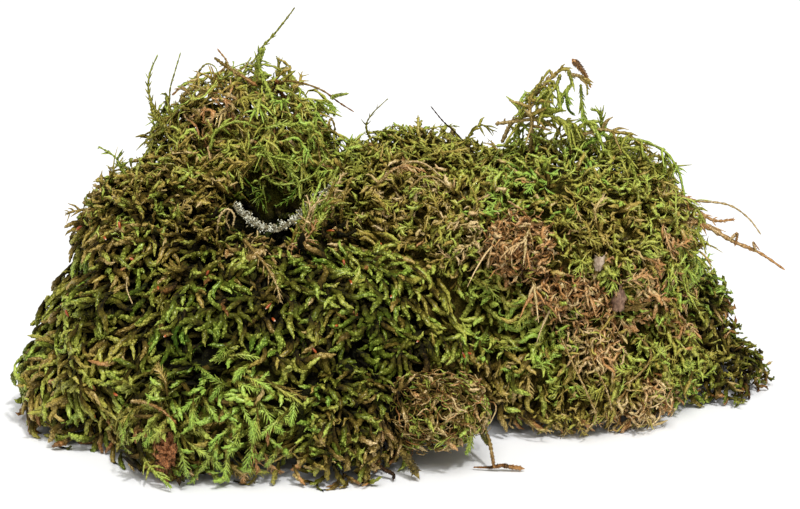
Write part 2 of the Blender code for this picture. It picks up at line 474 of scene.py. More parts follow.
def cells(rows: int, columns: int, closed: bool) -> tuple[Array, Array, Array, Array]:
    """The four corners of each cell in a grid of vertices, going round it.

    Args:
        rows: how many rows of vertices there are.
        columns: how many vertices a row has.
        closed: whether a row's last vertex meets its first.

    Returns:
        The vertex numbers of each corner, a row of cells to a row.
    """
    row, column = np.meshgrid(np.arange(rows - 1), np.arange(columns - 1 + closed), indexing="ij")
    first = row * columns + column
    second = row * columns + (column + 1) % columns
    return first, second, second + columns, first + columns


def fan(ring: Array, point: int, inwards: bool = False) -> Array:
    """Triangles from each side of a ring of vertices to one point, facing either way.

    Args:
        ring: the ring's vertex numbers, in order.
        point: the point's number.
        inwards: whether the fan faces the other way.

    Returns:
        The triangles.
    """
    ahead = np.roll(ring, -1)
    sides = (ahead, ring) if inwards else (ring, ahead)
    return np.stack([*sides, np.full(len(ring), point)], -1)


def through(route: tuple, count: int) -> Array:
    """Points along a smooth curve through a route: a Catmull-Rom curve, evenly stepped by span.

    Args:
        route: the points it goes through.
        count: how many points to give.

    Returns:
        The points, one a row.
    """
    knots = np.array(route, float)
    knots = np.vstack([2 * knots[0] - knots[1], knots, 2 * knots[-1] - knots[-2]])
    along = np.linspace(0, len(route) - 1 - 1e-9, count)
    span = along.astype(int)
    t = (along - span)[:, None]
    before, start, end, after = (knots[span + k] for k in range(4))
    return 0.5 * (
        2 * start
        + (end - before) * t
        + (2 * before - 5 * start + 4 * end - after) * t**2
        + (3 * start - before - 3 * end + after) * t**3
    )


@dataclass
class Strands:
    """Many strands at once: a row for each strand, and along the row a column for each ring.

    A ring of vertices is carried along each path, square to it. Every second vertex of a ring is a
    leaf tip: it stands out and forward, and its neighbours sink in and back, and the next ring has
    them the other way round, so that the leaves overlap like scales. Both ends close in a point.
    """

    path: Array
    radius: Array
    bright: Array
    tone: Array
    up: Array
    sides: int = 6
    scale: float = 0.25
    painted_glint: float = 0.07
    flat: float = 1.0

    POINT = 1.5
    FORWARD = 1.5
    TONE_ROUND = 0.012
    NUDGE = (0.013, -0.017, 0.011)

    def frames(self) -> tuple[Array, Array, Array]:
        """Each ring's three directions: along the path, and two square to it, carried without twist.

        Returns:
            The way along, the first way across and the second.
        """
        along = unit(np.gradient(self.path, axis=1))
        last = np.cross(along[:, 0], self.up + self.NUDGE)
        sides = []
        for ring in range(self.path.shape[1]):
            step = along[:, ring]
            last = unit(last - step * (last * step).sum(-1, keepdims=True))
            sides.append(last)
        first = np.stack(sides, axis=1)
        return along, first, np.cross(along, first)

    def surface(self) -> tuple[Array, Array, Array]:
        """The strands' vertices, triangles and palette pairs.

        Returns:
            One row for each vertex, triangle and vertex.
        """
        strands, rings = self.radius.shape
        sides = self.sides
        along, first, second = self.frames()
        turn = np.arange(sides) * 2 * np.pi / sides
        lift = np.where((np.arange(rings)[:, None] + np.arange(sides)[None, :]) % 2 == 0, 1.0, -1.0)
        reach = self.radius[:, :, None] * (1 + self.scale * lift)
        forward = self.radius[:, :, None] * self.scale * self.FORWARD * lift
        points = (
            self.path[:, :, None]
            + (reach * np.cos(turn))[..., None] * first[:, :, None]
            + (reach * np.sin(turn) * self.flat)[..., None] * second[:, :, None]
            + forward[..., None] * along[:, :, None]
        )
        # Painted highlight and shade: the leaf tips that stand out are made brighter by the glint, the sunk
        # vertices darker.
        bright = self.bright[:, :, None] + self.painted_glint * lift
        tone = self.tone[:, :, None] + self.TONE_ROUND * np.cos(turn)
        closing = ((0, -1.0), (-1, self.POINT))
        tips = [self.path[:, k] + way * along[:, k] * self.radius[:, k, None] for k, way in closing]
        points = np.concatenate([points.reshape(strands, -1, 3), *(tip[:, None] for tip in tips)], axis=1)
        pairs = np.stack([bright, tone + 0 * bright], axis=-1).reshape(strands, -1, 2)
        ends = np.stack([self.bright[:, [0, -1]], self.tone[:, [0, -1]]], axis=-1)
        pairs = np.clip(np.concatenate([pairs, ends], axis=1), 0.015, 0.985)
        offsets = (np.arange(strands) * (rings * sides + 2))[:, None, None]
        triangles = self._triangles(rings, sides)[None] + offsets
        return points.reshape(-1, 3), triangles.reshape(-1, 3), pairs.reshape(-1, 2)

    @staticmethod
    def _triangles(rings: int, sides: int) -> Array:
        """One strand's triangles, its root fan, its sides and its tip fan, facing out.

        Args:
            rings: how many rings it has.
            sides: how many vertices a ring has.

        Returns:
            The triangles.
        """
        a, b, c, d = cells(rings, sides, closed=True)
        even = (np.add.outer(np.arange(rings - 1), np.arange(sides)) % 2 == 0)[..., None]
        first = np.where(even, np.stack([a, b, d], -1), np.stack([a, b, c], -1))
        second = np.where(even, np.stack([b, c, d], -1), np.stack([a, c, d], -1))
        ring, root = np.arange(sides), rings * sides
        fans = [fan(ring, root, inwards=True), fan(root - sides + ring, root + 1)]
        return np.concatenate([first.reshape(-1, 3), second.reshape(-1, 3), *fans])


def put_piece(name: str, batches: list[Strands], finish: bpy.types.Material) -> bpy.types.Object:
    """One object from several batches of strands, none of it below the surface the clump lies on.

    What comes near that surface is squeezed into the little room above it, from the gap up.

    Args:
        name: the piece's name.
        batches: the strands.
        finish: its material.

    Returns:
        The object.
    """
    points, triangles, pairs = joined([batch.surface() for batch in batches])
    height = points[:, 2]
    squeezed = FLOOR_GAP + 0.7 * np.maximum(height, 0)
    points[:, 2] = np.where(height < NEAR_FLOOR, squeezed, height)
    piece = put_mesh(name, points, triangles, pairs)
    piece.data.materials.append(finish)
    return piece


def hang(piece: bpy.types.Object, slot: str, *nodes: str) -> None:
    """Makes a piece ride on the clump and stand for those CAD nodes, and logs it.

    Args:
        piece: the piece.
        slot: the record's material slot; not used.
        nodes: the CAD nodes, if it stands for any.
    """
    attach(piece, "root")
    if nodes:
        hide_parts(*nodes)
    LOG.info("%s: %d faces", piece.name, len(piece.data.polygons))


# -------- Where shoots grow --------


@dataclass(frozen=True)
class Seeds:
    """Where shoots come out of a solid, which way its surface looks, and how far they're raised."""

    places: Array
    ways: Array
    raised: Array

    def kept(self, mask: Array) -> "Seeds":
        """Those that the mask keeps."""
        return Seeds(self.places[mask], self.ways[mask], self.raised[mask])


@dataclass(frozen=True)
class Hollow:
    """The nest-like hollow in the crown, an upright ellipsoid, with painted shade below its lip."""

    centre: tuple[float, float, float] = mm(-39, -4, 72)
    radii: tuple[float, float, float] = mm(17, 14, 30)
    lip: Span = mm(65, 75)

    def dark(self, points: Array) -> Array:
        """How much painted shade falls at each point: 0 outside it and above its lip, and 1 deep inside."""
        away = np.linalg.norm((points - self.centre) / self.radii, axis=1)
        return (1 - smooth_step(away, 0.95, 1.4)) * (1 - smooth_step(points[:, 2], *self.lip))


class Ground:
    """The clump's closed solids: where a shoot can come out, and what another solid hides."""

    HIDDEN_WITHIN = 3.5 * MM
    VALLEY_WITHIN = 14 * MM
    VALLEY_RAISE = 4.0 * MM
    LOWEST = 0.5 * MM
    LIFT_OFF = 0.1 * MM
    SOFTNESS = 0.9

    def __init__(self, names: tuple[str, ...]) -> None:
        """Reads the solids with these names.

        Args:
            names: the CAD nodes that shoots grow from or are hidden by.
        """
        self.solids = {name: arrays_of(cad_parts[name].data) for name in names}
        self.trees = {
            name: BVHTree.FromPolygons(points.tolist(), triangles.tolist())
            for name, (points, triangles) in self.solids.items()
        }

    def seeds(self, name: str, density: float, rng: np.random.Generator) -> Seeds:
        """Points spread evenly over the part of a solid's surface that no other solid hides.

        Args:
            name: the solid.
            density: how many points to a square metre.
            rng: where the random numbers come from.

        Returns:
            The seeds, in random order.
        """
        points, triangles = self.solids[name]
        corners = points[triangles]
        square = np.cross(corners[:, 1] - corners[:, 0], corners[:, 2] - corners[:, 0])
        areas = np.linalg.norm(square, axis=1) / 2
        edges = np.cumsum(areas)
        count = int(density * edges[-1])
        picks = np.searchsorted(edges, (np.arange(count) + rng.uniform(size=count)) / count * edges[-1])
        picks = np.minimum(picks, len(areas) - 1)
        a, b = np.sort(rng.uniform(size=(2, count)), axis=0)
        shares = np.stack([a, b - a, 1 - b], axis=1)[..., None]
        places = (corners[picks] * shares).sum(1)
        ways = unit(square)[picks]
        room = self._room(name, places, ways)
        seen = (places[:, 2] > self.LOWEST) & (room > self.HIDDEN_WITHIN)
        order = rng.permutation(np.nonzero(seen)[0])
        raised = self.VALLEY_RAISE * (1 - smooth_step(room, self.HIDDEN_WITHIN, self.VALLEY_WITHIN))
        return Seeds(places[order], self._softened(name, places[order], ways[order]), raised[order])

    def _room(self, name: str, places: Array, ways: Array) -> Array:
        """How far each point can look straight out before it meets another solid.

        Args:
            name: the solid that the points lie on.
            places: the points.
            ways: the ways out of the solid there.

        Returns:
            The distances, up to the furthest that counts.
        """
        others = [tree for other, tree in self.trees.items() if other != name]
        found = np.full(len(places), self.VALLEY_WITHIN)
        for i, (place, way) in enumerate(zip(places.tolist(), ways.tolist())):
            start = Vector(place) + Vector(way) * self.LIFT_OFF
            for tree in others:
                hit = tree.ray_cast(start, Vector(way), self.VALLEY_WITHIN)
                distance = hit[3]
                if distance is not None:
                    found[i] = min(found[i], distance)
        return found

    def _softened(self, name: str, places: Array, ways: Array) -> Array:
        """The surface's directions, turned towards the solid's own way outwards where they agree.

        Args:
            name: the solid.
            places: points on it.
            ways: the surface's directions there.

        Returns:
            The softened directions.
        """
        points, _ = self.solids[name]
        middle = (points.min(0) + points.max(0)) / 2
        half = (points.max(0) - points.min(0)) / 2
        outward = unit((places - middle) / half**2)
        agree = np.clip((ways * outward).sum(1, keepdims=True), 0, 1)
        return unit(ways + self.SOFTNESS * agree * outward)


# -------- How shoots grow --------


@dataclass(frozen=True)
class Habit:
    """How a kind of shoot grows. Lengths are in metres, and pairs are the least and the most.

    depth is how far below the solid's surface a shoot's highest point stays. rise is how much it
    heads outwards at its root and at its tip, against 1 across. Angles are in radians.
    """

    length: Span
    width: Span
    depth: Span
    rise: Span = (1.3, 0.05)
    disorder: float = 0.45
    patchiness: float = 0.45
    turn: float = 0.6
    wave: float = 0.3
    rings: int = 9
    sides: int = 6
    scale: float = 0.24
    flat: float = 0.8
    blunt: float = 3.5
    root_tone: Tone = Tone.OLIVE_BROWN
    shade: Span = (0.0, 0.78)
    # glint: painted highlight on the leaf tips and painted shade on the sunk vertices between them
    painted_glint: float = 0.09
    pale_tips: float = 0.3
    strays: float = 0.08

    CURRENT = Drift(20 * MM, 5)
    LOOSENESS = 0.25
    STRAY_RISE = (0.3, 1.2)
    STRAY_LIFT = 1.5 * MM
    OVERHANG = 0.6

    def steps(self) -> Array:
        """Where the rings stand, from 0 at the root to 1 at the tip: closer towards the tip."""
        gaps = np.linspace(1.7, 0.75, self.rings - 1)
        return np.concatenate([[0], np.cumsum(gaps) / gaps.sum()])

    def grow(
        self, seeds: Seeds, tone: Array, rng: np.random.Generator, light: Array | float = 0.0
    ) -> Strands:
        """Shoots that come out at the seeds.

        Args:
            seeds: where the shoots come out.
            tone: where each shoot stands in the palette.
            rng: where the random numbers come from.
            light: the painted light on each shoot, painted shade where it is below 0.

        Returns:
            The strands.
        """
        n = len(seeds.places)
        t = self.steps()
        path, depth = self._paths(seeds, t, rng)
        body = 0.42 + 0.58 * smooth_step(t, 0.0, 0.4)
        body = body * np.sqrt(np.maximum(1 - t**self.blunt, 0.02))
        radius = rng.uniform(*self.width, n)[:, None] / 2 * body
        bright = self._brightness(depth + seeds.raised, t, light, rng)
        brown = rng.uniform(0.3, 1.0, n)[:, None] * (1 - smooth_step(t, 0.2, 0.75))
        along = tone[:, None] + (self.root_tone - tone[:, None]) * brown
        return Strands(path, radius, bright, along, seeds.ways, self.sides, self.scale, self.painted_glint, self.flat)

    def _paths(self, seeds: Seeds, t: Array, rng: np.random.Generator) -> tuple[Array, Array]:
        """The path of each shoot.

        A shoot's heading is its way outwards, fading from root to tip, plus a direction across the
        surface that starts downhill, is turned by a drift over the clump and curls as it goes. The
        path is the running sum of the heading. It is then moved so that its highest point stands as
        deep as wanted, and back against its lean.

        Args:
            seeds: where the shoots come out.
            t: where the rings stand, from 0 to 1.
            rng: where the random numbers come from.

        Returns:
            The paths, and how deep below its seed each shoot's highest point lies.
        """
        n = len(seeds.places)
        ways = seeds.ways
        long = rng.uniform(*self.length, n)
        downhill = unit(DOWN - ways * (ways @ DOWN)[:, None] + 1e-6)
        sideways = np.cross(ways, downhill)
        drift = self.CURRENT.at(seeds.places)
        level = 1 - smooth_step(1 - np.abs(ways[:, 2]), 0.1, 0.5)
        angle = self.patchiness * drift * (1 + 2 * level) + self.disorder * rng.normal(size=n)
        curl = self.turn * rng.normal(size=(n, 1))
        phase = rng.uniform(0, 2 * np.pi, (n, 1))
        pace = rng.uniform(0.8, 1.8, (n, 1))
        angle = angle[:, None] + curl * t + self.wave * np.sin(2 * np.pi * pace * t + phase)
        loose = 1 + self.LOOSENESS * rng.normal(size=(n, 1))
        rise = (self.rise[0] + (self.rise[1] - self.rise[0]) * t) * loose + 0.15 * rng.normal(size=(n, 1))
        stray = (rng.uniform(size=(n, 1)) < self.strays) * rng.uniform(*self.STRAY_RISE, (n, 1))
        rise = rise + stray * smooth_step(t, 0.2, 0.6)
        heading = (
            ways[:, None] * rise[..., None]
            + downhill[:, None] * np.cos(angle)[..., None]
            + sideways[:, None] * np.sin(angle)[..., None]
        )
        gaps = np.diff(t, prepend=0.0)[None, :, None] * long[:, None, None]
        path = np.cumsum(unit(heading) * gaps, axis=1)
        depth = rng.uniform(*self.depth, n) - seeds.raised - self.STRAY_LIFT * stray[:, 0]
        height = np.einsum("nrk,nk->nr", path, ways)
        over = path[:, -1] - ways * height[:, -1:]
        start = seeds.places - ways * (depth + height.max(1))[:, None] - over * self.OVERHANG
        return path + start[:, None], depth

    def _brightness(
        self, below: Array, t: Array, light: Array | float, rng: np.random.Generator
    ) -> Array:
        """How bright each ring is, in painted light and shade: more so towards the tip, painted shade where
        the shoot lies deep.

        Args:
            below: how far each shoot lies below the surface.
            t: where the rings stand, from 0 to 1.
            light: the painted light on each shoot, painted shade where it is below 0.
            rng: where the random numbers come from.

        Returns:
            The brightness, a row for each shoot.
        """
        n = len(below)
        low, high = self.shade
        # Painted light lifts the darkest rings of a lit shoot, and painted shade darkens a shoot that lies
        # deep.
        low = (low + 0.8 * np.maximum(light, 0) * np.ones(n))[:, None]
        high = high - 0.42 * smooth_step(below, 0.5 * MM, 5 * MM) + 0.09 * rng.normal(size=n) + light
        bright = low + (high[:, None] - low) * smooth_step(t, 0.05, 0.75)
        pale = (rng.uniform(size=n) < self.pale_tips) * rng.uniform(0.1, 0.4, n)
        return bright + pale[:, None] * smooth_step(t, 0.7, 1.0)


@dataclass(frozen=True)
class Feather:
    """Leaflets in two rows along a stem, longest below its middle, swept towards its tip."""

    pairs: int = 9
    length: Span = mm(2.6, 4.4)
    width: float = 0.75 * MM
    sweep: float = 0.85
    start: float = 0.2
    droop: float = 0.15
    glow: float = 0.12
    rings: int = 4
    sides: int = 4
    ragged: float = 0.16

    THINNEST = 0.16 * MM

    def on(self, stem: Strands, rng: np.random.Generator) -> Strands:
        """The leaflets of each stem.

        A leaflet heads between the stem's own way and square to it, by the sweep, and bends towards
        the stem's tip and downwards.

        Args:
            stem: the stems.
            rng: where the random numbers come from.

        Returns:
            The leaflets.
        """
        n, rings = stem.radius.shape
        at = np.linspace(self.start, 0.97, self.pairs)
        along, side, up = stem.frames()
        place = at * (rings - 1)
        low = np.minimum(place.astype(int), rings - 2)
        share = (place - low)[None, :, None]

        def pick(values: Array) -> Array:
            """The values between rings, once for each side of the stem."""
            found = values[:, low] * (1 - share) + values[:, low + 1] * share
            return np.repeat(found[:, :, None], 2, axis=2)

        shape = (n, self.pairs, 2, 1)
        hand = np.array([-1.0, 1.0])[None, None, :, None]
        sweep = self.sweep + self.ragged * rng.normal(size=shape)
        way, out, over = unit(pick(along)), unit(pick(side)), unit(pick(up))
        tilt = (0.1 + self.ragged) * rng.normal(size=shape)
        heading = way * np.cos(sweep) + out * hand * np.sin(sweep) + over * tilt
        taper = (1 - 0.8 * at**2.2) * (0.6 + 0.4 * smooth_step(at, self.start, self.start + 0.25))
        long = rng.uniform(*self.length, (n, 1, 1, 1)) * taper[None, :, None, None]
        long = long * (1 + self.ragged * rng.normal(size=shape))
        t = np.linspace(0, 1, self.rings)[None, None, None, :, None]
        bend = way * 0.3 + DOWN * self.droop
        reach = (heading[..., None, :] * t + bend[..., None, :] * t**2) * long[..., None]
        path = pick(stem.path)[..., None, :] + reach
        many = n * self.pairs * 2
        path = path.reshape(many, self.rings, 3)
        t = t.reshape(1, -1)
        slim = np.repeat(taper[None, :, None], 2, axis=2) * rng.uniform(0.8, 1.2, shape[:3])
        radius = self.width / 2 * slim
        radius = np.maximum(radius.reshape(many, 1), self.THINNEST) * np.sqrt(1.05 - t**2)
        bright = pick(stem.bright[..., None]).reshape(many, 1) + self.glow * (t - 0.2)
        bright = bright + 0.06 * rng.normal(size=(many, 1))
        tone = pick(stem.tone[..., None]).reshape(many, 1) + 0.02 * rng.normal(size=(many, 1)) + 0 * t
        up = over.reshape(many, 3)
        return Strands(path, radius, bright, tone, up, self.sides, scale=0.15, painted_glint=0.05, flat=0.55)


def routed(
    route: tuple, width: Span, tone: Tone | Span, shade: Span, rings: int = 24, **more: float
) -> Strands:
    """One strand through points given in millimetres, with knots where its width swells.

    Args:
        route: the points, from root to tip.
        width: how wide it is at its root and at its tip.
        tone: its tone, or the tone at its root and at its tip.
        shade: its brightness at its root and at its tip.
        rings: how many rings it has.
        more: what else Strands takes.

    Returns:
        The strand.
    """
    path = through(route, rings)[None] * MM
    t = np.linspace(0, 1, rings)[None]
    ends = (tone, tone) if isinstance(tone, Tone) else tone
    knots = 1 + 0.16 * np.sin(path[..., 0] * 2900) * np.sin(path[..., 2] * 2300)
    return Strands(
        path,
        (width[0] + (width[1] - width[0]) * t) / 2 * knots,
        shade[0] + (shade[1] - shade[0]) * t,
        ends[0] + (ends[1] - ends[0]) * t,
        np.array([[0.1, -0.8, 0.6]]),
        **more,
    )


@dataclass(frozen=True)
class Patch:
    """A part of the clump whose moss has another tone: a ball with soft edges, in millimetres."""

    centre: tuple[float, float, float]
    radius: float
    tone: Tone
    strength: float = 0.6
    light: float = 0.0

    EDGE = Drift(11 * MM, 77)
    EDGE_DEPTH = 0.22

    def weight(self, points: Array) -> Array:
        """How much of the patch's tone each point has, 0 to 1."""
        away = away_from(points, self.centre, self.radius) + self.EDGE_DEPTH * self.EDGE.at(points)
        return self.strength * (1 - smooth_step(away, 0.55, 1.15))


@dataclass(frozen=True)
class PaintedLight:
    """A ball, in millimetres, of painted light on the moss; a light below 0 makes it painted shade."""

    centre: tuple[float, float, float]
    radius: float
    light: float

    def at(self, points: Array) -> Array:
        """How much painted light it adds at each point, painted shade where it is below 0."""
        away = away_from(points, self.centre, self.radius)
        return self.light * (1 - smooth_step(away, 0.6, 1.15))


@dataclass(frozen=True)
class Cover:
    """How the tone of the moss varies over the clump, and its brightness, which is painted light and shade.
    """

    hollow: Hollow = Hollow()
    patches: tuple[Patch, ...] = (
        Patch((-84, -5, 66), 34, Tone.OLIVE_BROWN, 0.6, -0.03),
        Patch((-58, -8, 70), 16, Tone.OLIVE_BROWN, 0.6, -0.02),
        Patch((-42, -26, 62), 12, Tone.STRAW, 0.5, 0.02),
        Patch((-20, -10, 66), 12, Tone.STRAW, 0.4),
        Patch((4, -6, 68), 20, Tone.OLIVE_BROWN),
        Patch((26, -14, 66), 14, Tone.STRAW, 0.45, -0.03),
        Patch((-60, 22, 88), 12, Tone.DEAD, 0.7, 0.02),
        Patch((-64, 24, 100), 10, Tone.OLIVE_BROWN, 0.6, 0.02),
        Patch((-40, 24, 98), 12, Tone.YELLOW_GREEN, 0.6, 0.08),
        Patch((-34, 14, 84), 16, Tone.FRESH, 0.4, 0.12),
        Patch((10, 10, 80), 18, Tone.OLIVE),
        Patch((36, -24, 62), 11, Tone.DEAD, 0.7, 0.06),
        Patch((62, -22, 50), 12, Tone.DEAD, 0.5, 0.04),
        Patch((11, -50, 18), 15, Tone.STRAW, 0.6, -0.06),
        Patch((44, -6, 74), 18, Tone.EMERALD, 0.3),
        Patch((66, -16, 66), 12, Tone.OLIVE_BROWN, 0.6, -0.02),
        Patch((84, -2, 62), 16, Tone.OLIVE_BROWN),
        Patch((76, -18, 42), 14, Tone.FRESH),
        Patch((88, -10, 34), 12, Tone.DEAD),
        Patch((66, -28, 34), 13, Tone.DEAD, 0.55),
        Patch((38, -34, 30), 20, Tone.FRESH, 0.5),
        Patch((30, -36, 12), 18, Tone.OLIVE_BROWN, 0.65, -0.02),
        Patch((64, -26, 8), 20, Tone.OLIVE_BROWN),
        Patch((100, 10, 34), 14, Tone.FRESH, 0.5, -0.05),
        Patch((112, 12, 22), 9, Tone.DEAD, 0.7),
        Patch((100, 6, 12), 16, Tone.OLIVE, 0.7, -0.03),
        Patch((-106, -28, 20), 18, Tone.OLIVE_BROWN, 0.45),
        Patch((-92, -44, 12), 12, Tone.OLIVE, 0.7, 0.05),
        Patch((-74, -60, 14), 7, Tone.DEAD, 0.7),
        Patch((-50, -60, 20), 26, Tone.FRESH, 0.85),
        Patch((-58, -62, 24), 14, Tone.EMERALD, 0.3),
        Patch((-12, -66, 8), 16, Tone.OLIVE_BROWN),
        Patch((-3, -60, 12), 9, Tone.STRAW, 0.6, -0.02),
        Patch((79, -23, 47), 10, Tone.DEAD, 0.6, 0.05),
        Patch((85, -16, 58), 7, Tone.DEAD, 0.55, 0.03),
        Patch((5, -2, 76), 13, Tone.STRAW, 0.3, 0.02),
    )
    # Painted light on the crown, the right shoulder, the back, the left end, the front tuft and the foot;
    # painted shade over the front face and in the recess above the front tuft.
    painted_lights: tuple[PaintedLight, ...] = (
        PaintedLight((66, -8, 46), 62, 0.31),
        PaintedLight((6, 0, 76), 28, 0.27),
        PaintedLight((-46, 24, 94), 36, 0.44),
        PaintedLight((-84, -12, 66), 26, 0.10),
        PaintedLight((-50, -60, 20), 26, 0.22),
        PaintedLight((10, -52, 12), 20, 0.14),
        PaintedLight((0, 56, 50), 80, 0.10),
        PaintedLight((-100, -36, 10), 34, 0.10),
        PaintedLight((-66, -36, 54), 34, -0.13),
        PaintedLight((-20, -40, 46), 34, -0.14),
        PaintedLight((0, -50, 30), 28, -0.10),
        PaintedLight((-62, -52, 39), 13, -0.22),
    )
    base: float = 0.63
    olive_strays: float = 0.07
    dead_strays: float = 0.01
    fringe_height: float = 8 * MM
    nugget: tuple[float, float, float] = mm(-70, -67, 12)
    nugget_radius: float = 5.5 * MM

    def bare(self, points: Array) -> Array:
        """True where no shoot grows, so that the bark nugget shows."""
        return np.linalg.norm(points - self.nugget, axis=1) < self.nugget_radius

    def light(self, points: Array) -> Array:
        """The painted light on the moss at each point, painted shade where it is below 0: a small drift over
        the clump and the balls of painted light and shade.

        Args:
            points: the points.

        Returns:
            The differences in brightness.
        """
        light = 0.06 * Drift(16 * MM, 33).at(points)
        for glow in self.painted_lights:
            light = light + glow.at(points)
        return light

    def tones(self, points: Array, rng: np.random.Generator) -> tuple[Array, Array]:
        """The tone of a shoot at each point, and its painted light and shade.

        Args:
            points: where the shoots come out.
            rng: where the random numbers come from.

        Returns:
            Where each shoot stands in the palette, and how much brighter it is than usual.
        """
        n = len(points)
        tone = self.base + 0.04 * Drift(30 * MM, 31).at(points) + 0.04 * Drift(9 * MM, 32).at(points)
        light = self.light(points)
        for patch in self.patches:
            share = patch.weight(points)
            taken = rng.uniform(size=n) < share
            tone = np.where(taken, patch.tone + 0.025 * rng.normal(size=n), tone)
            light = light + share * patch.light
        stray = rng.uniform(size=n)
        withered = stray > 1 - self.dead_strays
        tone = np.where(stray < self.olive_strays, Tone.OLIVE_BROWN, tone)
        tone = np.where(withered, Tone.DEAD, tone)
        light = light - 0.16 * withered
        fringe = 1 - smooth_step(points[:, 2], 0.3 * self.fringe_height, 1.6 * self.fringe_height)
        dead = rng.uniform(size=n) < 0.5 * fringe
        browns = [Tone.HUMUS + 0.05, Tone.DEAD, Tone.OLIVE_BROWN]
        brown = rng.choice(browns, n, p=[0.2, 0.35, 0.45])
        tone = np.where(dead, brown, tone)
        tone = tone + 0.03 * rng.normal(size=n)
        # Painted shade in the hollow: the shoots there lose their painted light and are darkened.
        dark = self.hollow.dark(points)
        light = light * (1 - dark) - 0.75 * dark
        return np.clip(tone, 0.03, 0.97), light


CATKIN = Habit(
    mm(7.5, 13.5), mm(1.5, 2.5), mm(-1.4, 1.8), rise=(1.0, 0.1), disorder=0.5, turn=0.9, wave=0.5, rings=11,
    sides=5, scale=0.15, painted_glint=0.14, shade=(0.03, 0.8),
)
SHORT_CATKIN = Habit(
    mm(5.5, 10), mm(1.4, 2.1), mm(-1.2, 1.4), rise=(1.1, 0.2), disorder=0.9, turn=1.0, rings=7, sides=5,
    scale=0.3, painted_glint=0.12, shade=(0.05, 0.78),
)
# A dim under-layer of shoots that fills the gaps; its low brightness is painted shade.
UNDERGROWTH = Habit(
    mm(6, 10), mm(1.8, 3.0), mm(2.0, 4.5), disorder=1.0, turn=1.0, rings=4, sides=3, scale=0.25,
    shade=(0.03, 0.55), pale_tips=0.0, strays=0.0,
)
SHRED = Habit(
    mm(5, 11), mm(0.9, 2.0), mm(-2.4, 1.4), rise=(1.0, 0.5), disorder=2.2, turn=1.6, wave=0.8, rings=6,
    sides=4, scale=0.3, flat=0.22, root_tone=Tone.DEAD, shade=(0.25, 0.85), painted_glint=0.14, strays=0.2,
)
SLENDER = Habit(
    mm(5, 10), mm(0.9, 1.6), mm(-1.8, 2.0), rise=(1.2, 0.35), disorder=1.4, turn=2.2, wave=1.0, rings=7,
    sides=4, scale=0.34, shade=(0.2, 0.9), painted_glint=0.12, strays=0.15,
)
CRUMBS = Habit(
    mm(3.5, 6.5), mm(0.9, 1.7), mm(-1.8, 2.4), rise=(1.0, 0.6), disorder=2.0, turn=2.5, wave=0.8, rings=5,
    sides=3, scale=0.35, flat=0.6, shade=(0.3, 0.9), painted_glint=0.16, strays=0.15,
)
STRINGY = Habit(
    mm(11, 22), mm(0.8, 1.5), mm(-3.5, 0.5), rise=(1.0, -0.4), disorder=2.0, turn=2.4, wave=1.1, rings=12,
    sides=4, scale=0.36, flat=0.45, blunt=8, shade=(0.3, 0.8), pale_tips=0.1,
)
FROND_STEM = Habit(
    mm(10, 17), mm(0.7, 1.1), mm(-2.2, 0.6), rise=(0.8, 0.0), disorder=0.6, turn=0.5, wave=0.12, rings=8,
    sides=4, flat=0.6, blunt=8, shade=(0.15, 0.75),
)
SPRAY_STEM = Habit(
    mm(9, 15), mm(0.6, 1.0), mm(-2.0, 1.0), rise=(0.9, 0.15), disorder=1.2, turn=0.8, rings=7,
    sides=4, flat=0.6, blunt=8, shade=(0.2, 0.85),
)
TUFT_STEM = Habit(
    mm(8, 13), mm(0.8, 1.2), mm(-6.0, -2.0), rise=(1.5, 0.5), disorder=2.5, turn=0.8, rings=6,
    sides=4, flat=0.7, blunt=8, shade=(0.42, 0.9), strays=0.0,
)
CURLED = Habit(
    mm(5, 11), mm(0.5, 1.4), mm(-1.2, 2.2), rise=(1.2, -0.2), disorder=1.8, turn=2.0, wave=0.9, rings=8,
    sides=4, scale=0.3, flat=0.35, root_tone=Tone.HUMUS, shade=(0.15, 0.9), painted_glint=0.12,
)
THATCH = Habit(
    mm(6, 12), mm(0.6, 1.3), mm(-1.4, 2.0), rise=(0.9, 0.1), disorder=0.8, turn=0.8, wave=0.6, sides=4,
    scale=0.1, flat=0.4, blunt=8, root_tone=Tone.DEAD, shade=(0.2, 0.9),
)
ROOTLET = Habit(
    mm(5, 11), mm(0.3, 0.65), mm(-1.3, 2.2), rise=(0.7, -0.1), disorder=1.8, turn=1.4, wave=0.6, rings=10,
    sides=3, scale=0.0, blunt=8, root_tone=Tone.DEAD, shade=(0.2, 0.72), pale_tips=0.1,
)
BUSHY = Feather(8, mm(2.6, 5.4), 1.5 * MM, 0.8, 0.05, 0.35, 0.08, rings=5, ragged=0.55)
RAGGED = Feather(6, mm(2.2, 4.6), 1.2 * MM, 0.8, 0.1, 0.4, 0.08, rings=5, ragged=0.55)
LEAFY_FRONDS = Feather(12, mm(1.5, 2.8), 0.75 * MM, 0.8, rings=3, sides=3)
TUFTED = Feather(6, mm(2.2, 4.2), 1.2 * MM, 0.8, 0.15, 0.2, rings=3, sides=3, ragged=0.4)
FINE_SPRAYS = Feather(6, mm(1.6, 3.2), 0.8 * MM, 0.9, rings=3, sides=3)

Mix = tuple[tuple[Habit, float, Feather | None], ...]


